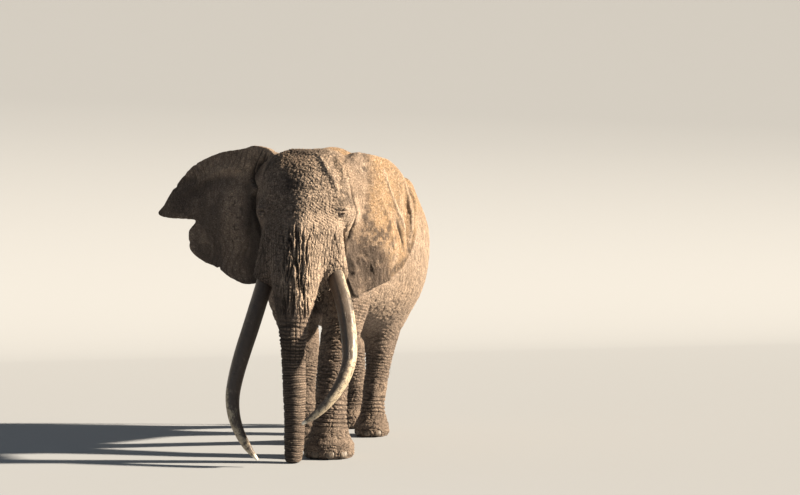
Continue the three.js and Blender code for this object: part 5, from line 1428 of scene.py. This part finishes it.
finish_piece(skin, "skin", ["torso", "neck", "head", "trunk", "lower_jaw", "ear_left", "ear_right", "leg_front_left", "leg_front_right",
                                   "leg_hind_left", "leg_hind_right", "belly_sheath", "tail"])


# ------------------------------------------------------------------ tusks, nails, eyes, hairs
def curve_points(rows, n):
    """Centripetal curve through the rows, like the solids'."""
    p = np.asarray(rows, float)
    pts = p[:, :3]
    t = np.r_[0, np.cumsum(np.linalg.norm(np.diff(pts, axis=0), axis=1) ** 0.5)]
    ext = np.vstack([2 * pts[0] - pts[1], pts, 2 * pts[-1] - pts[-2]])
    te = np.r_[t[0] - (t[1] - t[0]), t, t[-1] + (t[-1] - t[-2])]
    out, rad, key = [], [], []
    for f in np.linspace(0, len(pts) - 1, n):
        i = min(int(f), len(pts) - 2)
        u = t[i] + (f - i) * (t[i + 1] - t[i])
        T, Pn = te[i:i + 4], ext[i:i + 4]
        A = [((T[k + 1] - u) * Pn[k] + (u - T[k]) * Pn[k + 1]) / (T[k + 1] - T[k]) for k in range(3)]
        B = [((T[k + 2] - u) * A[k] + (u - T[k]) * A[k + 1]) / (T[k + 2] - T[k]) for k in range(2)]
        out.append(((T[2] - u) * B[0] + (u - T[1]) * B[1]) / (T[2] - T[1]))
        rad.append(p[i, 3:] + (f - i) * (p[i + 1, 3:] - p[i, 3:]))
        key.append(f / (len(pts) - 1))
    out = np.array(out)
    d = np.gradient(out, axis=0)
    return out, d / np.linalg.norm(d, axis=1, keepdims=True), np.array(rad), np.array(key)


def tusk(name, rows, side, n=150, around=56):
    C, D, R, key = curve_points(rows, n)
    r = R[:, 0].copy()
    arc = np.r_[0, np.cumsum(np.linalg.norm(np.diff(C, axis=0), axis=1))]
    arc /= arc[-1]
    # a blunt, worn tip
    left = (1 - arc) * 3.0
    r = np.interp(arc, [0, 1], [1, 1]) * r
    tipr = 0.030
    r = np.where(left < 0.06, np.minimum(r, tipr * np.sqrt(np.clip(left / 0.06, 0.0, 1)) + 0.004), r)
    ref = np.array([0.0, 1.0, 0.0])
    S = np.cross(np.broadcast_to(ref, D.shape), D)
    S /= np.linalg.norm(S, axis=1, keepdims=True)
    U = np.cross(D, S)
    th = np.linspace(0, 2 * math.pi, around, endpoint=False)
    pts = C[:, None] + (np.cos(th)[None, :, None] * S[:, None] + np.sin(th)[None, :, None] * U[:, None]) * r[:, None, None]
    nor = (pts - C[:, None]) / np.maximum(r[:, None, None], 1e-5)
    flat = pts.reshape(-1, 3)
    k = np.repeat(arc, around)
    t = np.tile(th, n)
    q = np.stack([np.cos(t) * 1.5, np.sin(t) * 1.5, k * 5], -1)
    h = 0.0022 * noise(q, 111) + 0.0012 * noise(np.stack([np.cos(t) * 5, np.sin(t) * 5, k * 7], -1), 112)
    for a0, c0, wd in ((0.9, 0.22, 0.16), (3.4, 0.35, 0.2), (5.1, 0.5, 0.12), (2.1, 0.62, 0.14)):  # drying cracks along the length
        wander = a0 + 0.25 * noise(np.stack([k * 9, 0 * k, 0 * k + a0], -1), 113)
        h -= 0.0028 * np.exp(-((np.angle(np.exp(1j * (t - wander)))) / 0.035) ** 2) * np.exp(-((k - c0) / wd) ** 2)
    flat = flat + nor.reshape(-1, 3) * h[:, None]
    i, j = np.meshgrid(np.arange(n - 1), np.arange(around), indexing="ij")
    a, b = (i * around + j).ravel(), (i * around + (j + 1) % around).ravel()
    Q = np.stack([a, b, b + around, a + around], -1)
    tip = [list(range((n - 1) * around, n * around))]
    base = [list(range(around))[::-1]]
    v = flat[Q[0]]
    ob = mesh_object(name, flat, Q, tip + base)
    outward = np.array([side, -0.25, -0.55])
    outer = (nor.reshape(-1, 3) @ (outward / np.linalg.norm(outward))) * 0.5 + 0.5
    paint(ob, "along", k)
    paint(ob, "ring", t)
    # the right tusk, on the side away from the sun, is far less clean, most of all towards its root: stain and painted
    # shade
    paint(ob, "outer", outer if side > 0 else outer * (0.30 + 0.45 * step(0.45, 0.75, k)) + 0.22 * step(0.45, 0.75, k))
    return ob


for nm, rows, s in (("tusk_left_ivory", TUSK_L, 1), ("tusk_right_ivory", TUSK_R, -1)):
    finish_piece(tusk(nm, rows, s), "ivory", [nm[:-6]])


def ball_grid(nu, nv):
    u = np.linspace(0, 2 * math.pi, nu, endpoint=False)
    v = np.linspace(0, math.pi, nv)
    V, U = np.meshgrid(v, u, indexing="ij")
    P = np.stack([np.sin(V) * np.cos(U), np.sin(V) * np.sin(U), np.cos(V)], -1).reshape(-1, 3)
    i, j = np.meshgrid(np.arange(nv - 1), np.arange(nu), indexing="ij")
    a, b = (i * nu + j).ravel(), (i * nu + (j + 1) % nu).ravel()
    return P, np.stack([a, a + nu, b + nu, b], -1), V.ravel(), U.ravel()


def weld(ob):
    """Closes the poles of a piece made on a grid."""
    import bmesh
    bm = bmesh.new()
    bm.from_mesh(ob.data)
    bmesh.ops.remove_doubles(bm, verts=bm.verts, dist=1e-6)
    bmesh.ops.dissolve_degenerate(bm, edges=bm.edges, dist=1e-7)
    bmesh.ops.recalc_face_normals(bm, faces=bm.faces)
    bm.to_mesh(ob.data)
    bm.free()


for side in ("left", "right"):
    e = EYES[side]
    P0, Q0, V0, U0 = ball_grid(64, 44)
    axis = e["n"] + 0.10 * e["fwd"] - 0.03 * e["up"]
    axis /= np.linalg.norm(axis)
    sx = np.cross(e["up"], axis)
    sx /= np.linalg.norm(sx)
    sy = np.cross(axis, sx)
    bulge = 1 + 0.045 * np.exp(-(V0 / 0.45) ** 2)
    ob = mesh_object("eye_" + side + "_ball", e["c"] + e["r"] * bulge[:, None] * (P0[:, :1] * sx + P0[:, 1:2] * sy + P0[:, 2:] * axis), Q0)
    paint(ob, "off", V0)
    paint(ob, "turn", U0)
    weld(ob)
    finish_piece(ob, "eye", ["eye_" + side])

NAILS = {"front_left": (FL, (-52, -18, 18, 52), 96, 84), "front_right": (FR, (-52, -18, 18, 52), 96, 84),
         "hind_left": (HL, (-38, 0, 38), 88, 78), "hind_right": (HR, (-38, 0, 38), 88, 78)}
nail_p, nail_q, nail_nodes, k = [], [], [], 0
for foot, (rows, angles, wd, ht) in NAILS.items():
    cx, cy, rx, ry = [float(v[0]) for v in rows(np.array([0.052]))]
    for i, deg in enumerate(angles):
        P0, Q0, V0, U0 = ball_grid(40, 26)
        sq = np.array([0.72, 0.60, 0.72])  # squared off, flat in front
        p = np.sign(P0) * np.abs(P0) ** sq
        p[:, 2] = np.where(p[:, 2] < 0, p[:, 2] * 0.95, p[:, 2])
        p[:, 1] *= 1.0 - 0.12 * (P0[:, 2] > 0) * P0[:, 2]
        p = p * np.array([wd / 2000 * 0.97, 0.025, ht / 2000 * 0.96])
        p += (0.0008 * np.sin(p[:, 0] * 520 + i))[:, None] * np.array([0, -1, 0]) * (P0[:, 1:2] < 0)
        a = -0.28
        p = np.stack([p[:, 0], p[:, 1] * math.cos(a) - p[:, 2] * math.sin(a), p[:, 1] * math.sin(a) + p[:, 2] * math.cos(a)], -1)
        a = math.radians(deg)
        p = np.stack([p[:, 0] * math.cos(a) - p[:, 1] * math.sin(a), p[:, 0] * math.sin(a) + p[:, 1] * math.cos(a), p[:, 2]], -1)
        p += np.array([cx + math.sin(a) * (rx - 0.014), cy - math.cos(a) * (ry - 0.014), ht / 2000 + 0.012])
        nail_p.append(p)
        nail_q.append(Q0 + k)
        k += len(p)
        nail_nodes.append("nail_%s_%d" % (foot, i + 1))
nails = mesh_object("toenails", np.concatenate(nail_p), np.concatenate(nail_q))
weld(nails)
finish_piece(nails, "nail", nail_nodes)


def hairs(name, roots, dirs, lengths, radii, droop, curl, mat, nodes=(), seg=5, sides=3):
    """Stiff hairs as thin tapering prisms."""
    roots, dirs = np.asarray(roots, float), np.asarray(dirs, float)
    n = len(roots)
    dirs = dirs / np.linalg.norm(dirs, axis=1, keepdims=True)
    t = np.linspace(0, 1, seg + 1)
    side = rng.normal(size=(n, 3))
    side -= dirs * (side * dirs).sum(1, keepdims=True)
    side /= np.linalg.norm(side, axis=1, keepdims=True)
    L = np.asarray(lengths)[:, None, None]
    C = roots[:, None] + dirs[:, None] * L * t[None, :, None] + side[:, None] * (curl * L * (t**2)[None, :, None] * rng.uniform(-1, 1, (n, 1, 1)))
    C[..., 2] -= (droop * L * (t**2)[None, :, None])[..., 0]
    up = np.cross(dirs, side)
    ang = np.linspace(0, 2 * math.pi, sides, endpoint=False)
    r = np.asarray(radii)[:, None] * (1 - 0.88 * t[None]) 
    pts = C[:, :, None] + (np.cos(ang)[None, None, :, None] * side[:, None, None] + np.sin(ang)[None, None, :, None] * up[:, None, None]) * r[:, :, None, None]
    base = (np.arange(n) * (seg + 1) * sides)[:, None, None]
    i, j = np.meshgrid(np.arange(seg), np.arange(sides), indexing="ij")
    a, b = i * sides + j, i * sides + (j + 1) % sides
    Q = np.stack([base + a, base + b, base + b + sides, base + a + sides], -1).reshape(-1, 4)
    caps = []
    for h in range(n):
        b0 = h * (seg + 1) * sides
        caps.append(list(range(b0, b0 + sides))[::-1])
        caps.append(list(range(b0 + seg * sides, b0 + (seg + 1) * sides)))
    ob = mesh_object(name, pts.reshape(-1, 3), Q, caps)
    # each hair is a small patch at its root's place
    uv = ob.data.uv_layers.new(name="OFBake")
    lo, hi = roots.min(0), roots.max(0)
    place = (roots - lo) / np.maximum(hi - lo, 1e-6)
    vi = np.empty(len(ob.data.loops), np.int32)
    ob.data.loops.foreach_get("vertex_index", vi)
    hair = vi // ((seg + 1) * sides)
    lvl = (vi % ((seg + 1) * sides)) // sides
    crn = vi % sides
    ring = np.arctan2(place[:, 1] - 0.5, place[:, 0] - 0.5) / (2 * math.pi) + 0.5
    U = 0.02 + 0.95 * ring[hair] + 0.003 * crn / sides
    Vv = 0.02 + 0.95 * place[hair, 2] + 0.003 * lvl / seg
    uv.data.foreach_set("uv", np.stack([U, Vv], -1).astype(F4).ravel())
    finish_piece(ob, mat, nodes)
    return ob


# the tail's tuft: two rows of long wires round the tail's end
T0 = TAIL[-1]
nh = 620
zt = rng.uniform(0.70, 1.13, nh)
row = np.where(rng.random(nh) < 0.5, 1, -1)
tx = np.interp(zt, [0.70, 1.05, 1.13], [0.0275, 0.024, 0.022])
ty = np.interp(zt, [0.70, 1.05, 1.13], [1.778, 1.786, 1.789])
ang = np.where(row > 0, 0.5 * math.pi, -0.5 * math.pi) + rng.normal(0, 0.75, nh)
rad = np.interp(zt, [0.70, 1.0, 1.13], [0.008, 0.016, 0.020])
roots = np.stack([tx + np.cos(ang) * rad, ty + np.sin(ang) * rad, zt], -1)
dirs = np.stack([np.cos(ang) * 0.16, np.sin(ang) * 0.30, -np.ones(nh)], -1)
length = np.minimum(rng.uniform(0.16, 0.34, nh), zt - 0.632)
hairs("tail_tuft_hairs", roots, dirs, length, rng.uniform(0.0011, 0.0017, nh), 0.0, 0.07, "hair", ["tail_tuft"])

# bristles: chin and lower lip, brow and crown, trunk, lashes
br, bd, bl, bw = [], [], [], []


def bristle(points, dirs, lo, hi, w=0.0007):
    br.extend(points)
    bd.extend(dirs)
    bl.extend(rng.uniform(lo, hi, len(points)))
    bw.extend([w] * len(points))


def on_skin(guess, spread):
    p = np.asarray(guess, float) + rng.normal(size=(len(guess), 3)) * spread
    p = lay(p, 5, 0.08)
    n, _ = gradient(p)
    return p, n


n_chin = 90
c = rng.random(n_chin)
hx, hy, hz = rng.normal(0, 0.07, n_chin), -1.98 + 0.30 * c, 1.60 + 0.20 * c
a, b = from_head(hx, hy)
p, n = on_skin(np.stack([a, b, hz], -1), 0.015)
keep = n[:, 2] < 0.3
bristle(p[keep], n[keep] + np.array([0, -0.3, -0.8]), 0.03, 0.09)
n_top = 170
hx, hy, hz = rng.uniform(-0.36, 0.36, n_top), rng.uniform(-1.80, -1.20, n_top), np.full(n_top, 3.22)
a, b = from_head(hx, hy)
p, n = on_skin(np.stack([a, b, hz], -1), 0.01)
keep = n[:, 2] > 0.2
bristle(p[keep], n[keep] + rng.normal(0, 0.3, (keep.sum(), 3)), 0.015, 0.045, 0.0005)
n_tr = 260
zt = rng.uniform(0.05, 1.7, n_tr)
cx, cy, ra, rb = TRUNK(zt)
ang = rng.uniform(0, 2 * math.pi, n_tr)
p, n = on_skin(np.stack([cx + np.cos(ang) * ra, cy + np.sin(ang) * rb, zt], -1), 0.004)
bristle(p, n + np.array([0, 0, -0.5]), 0.010, 0.030, 0.0005)
hairs("bristles", br, bd, bl, bw, 0.25, 0.25, "bristle", seg=4)
br, bd, bl, bw = [], [], [], []
for e in EYES.values():
    for k in range(26):
        s = rng.uniform(-0.016, 0.018)
        arch = max(1 - (s / 0.020) ** 2, 0) ** 0.62
        h = 0.0118 * arch + 0.0035
        ball = -0.012 + math.sqrt(e["r"] ** 2 - min(math.hypot(s, h), 0.0205) ** 2) + 0.003
        br.append(e["p"] + s * e["fwd"] + h * e["up"] + ball * e["n"])
        bd.append(e["n"] * 1.0 - 0.45 * e["up"] + e["fwd"] * s * 14)
        bl.append(rng.uniform(0.025, 0.045))
        bw.append(0.00045)
hairs("lashes", br, bd, bl, bw, 0.25, 0.25, "hair", seg=4)

# ------------------------------------------------------------------ camera, floor, light
cam_data = bpy.data.cameras.new("camera")
cam = bpy.data.objects.new("camera", cam_data)
bpy.context.scene.collection.objects.link(cam)
cam_data.sensor_width = 36.0
cam_data.lens = 1648.0 / 800.0 * 36.0
cam_data.clip_start, cam_data.clip_end = 0.1, 300.0
cam.location = tuple(np.array([5.4635, -18.4897, 2.10]) + SHIFT)
cam.rotation_euler = (math.radians(90.4346), 0.0, math.radians(14.5))
bpy.context.scene.camera = cam


def plain(name, color, rough=0.9):
    m = bpy.data.materials.new(name)
    m.use_nodes = True
    b = m.node_tree.nodes["Principled BSDF"]
    b.inputs["Base Color"].default_value = (*color, 1)
    b.inputs["Roughness"].default_value = rough
    b.inputs["Specular IOR Level"].default_value = 0.0
    return m


# one sheet: the floor, curving up far behind the animal
ys = [-40.0, 16.0] + [16.0 + 6 * math.sin(a) for a in np.linspace(0.1, math.pi / 2, 12)] + [22.0]
zs = [0.0, 0.0] + [6 - 6 * math.cos(a) for a in np.linspace(0.1, math.pi / 2, 12)] + [40.0]
R2, D2 = np.array([0.96815, 0.25038, 0]), np.array([-0.25038, 0.96815, 0])
turned = math.radians(22)  # the sheet's far side turns a little to the sun
D3, R3 = D2 * math.cos(turned) - R2 * math.sin(turned), R2 * math.cos(turned) + D2 * math.sin(turned)
fl_p = [R3 * x + D3 * y + np.array([0, 0, z - 0.0005]) - SHIFT for y, z in zip(ys, zs) for x in (-70, 70)]
floor = mesh_object("floor", fl_p, [[2 * i, 2 * i + 1, 2 * i + 3, 2 * i + 2] for i in range(len(ys) - 1)])
floor.data.materials.append(plain("floor", (0.285, 0.305, 0.335)))


def aim(at, to):
    """The turn that makes a light at one place look at another."""
    return (Vector(to) - Vector(at)).to_track_quat("-Z", "Y").to_euler()


def area(name, at, to, size, power, color):
    l = bpy.data.lights.new(name, "AREA")
    l.shape, l.size, l.energy, l.color = "DISK", size, power, color
    o = bpy.data.objects.new(name, l)
    bpy.context.scene.collection.objects.link(o)
    o.location = at
    o.rotation_euler = aim(at, to)
    return o


def toward(az, el, dist):
    """A place seen from the animal: azimuth from the camera's side, to the picture's right."""
    a = math.radians(az)
    v = -D2 * math.cos(a) + R2 * math.sin(a)
    return tuple(v * dist * math.cos(math.radians(el)) + np.array([0.4, -0.3, 1.6 + dist * math.sin(math.radians(el))]))


sun = bpy.data.lights.new("key", "SUN")
sun.energy, sun.color, sun.angle = 16.4, (1.0, 0.84, 0.64), math.radians(2.5)
key = bpy.data.objects.new("key", sun)
bpy.context.scene.collection.objects.link(key)
key.rotation_euler = aim(toward(88, 27, 15), (0.4, -0.3, 1.6))
area("cool", toward(-50, 25, 16), (0.5, -0.5, 1.8), 8.0, 105, (0.64, 0.82, 1.0))
area("front", toward(8, 20, 16), (0.5, -0.5, 1.8), 6.0, 95, (0.78, 0.89, 1.0))

world = bpy.data.worlds.new("world")
world.use_nodes = True
world.node_tree.nodes["Background"].inputs[0].default_value = (0.56, 0.77, 1.0, 1)
world.node_tree.nodes["Background"].inputs[1].default_value = 0.12
bpy.context.scene.world = world
bpy.context.scene.view_settings.view_transform = "Standard"
bpy.context.scene.view_settings.look = "None"
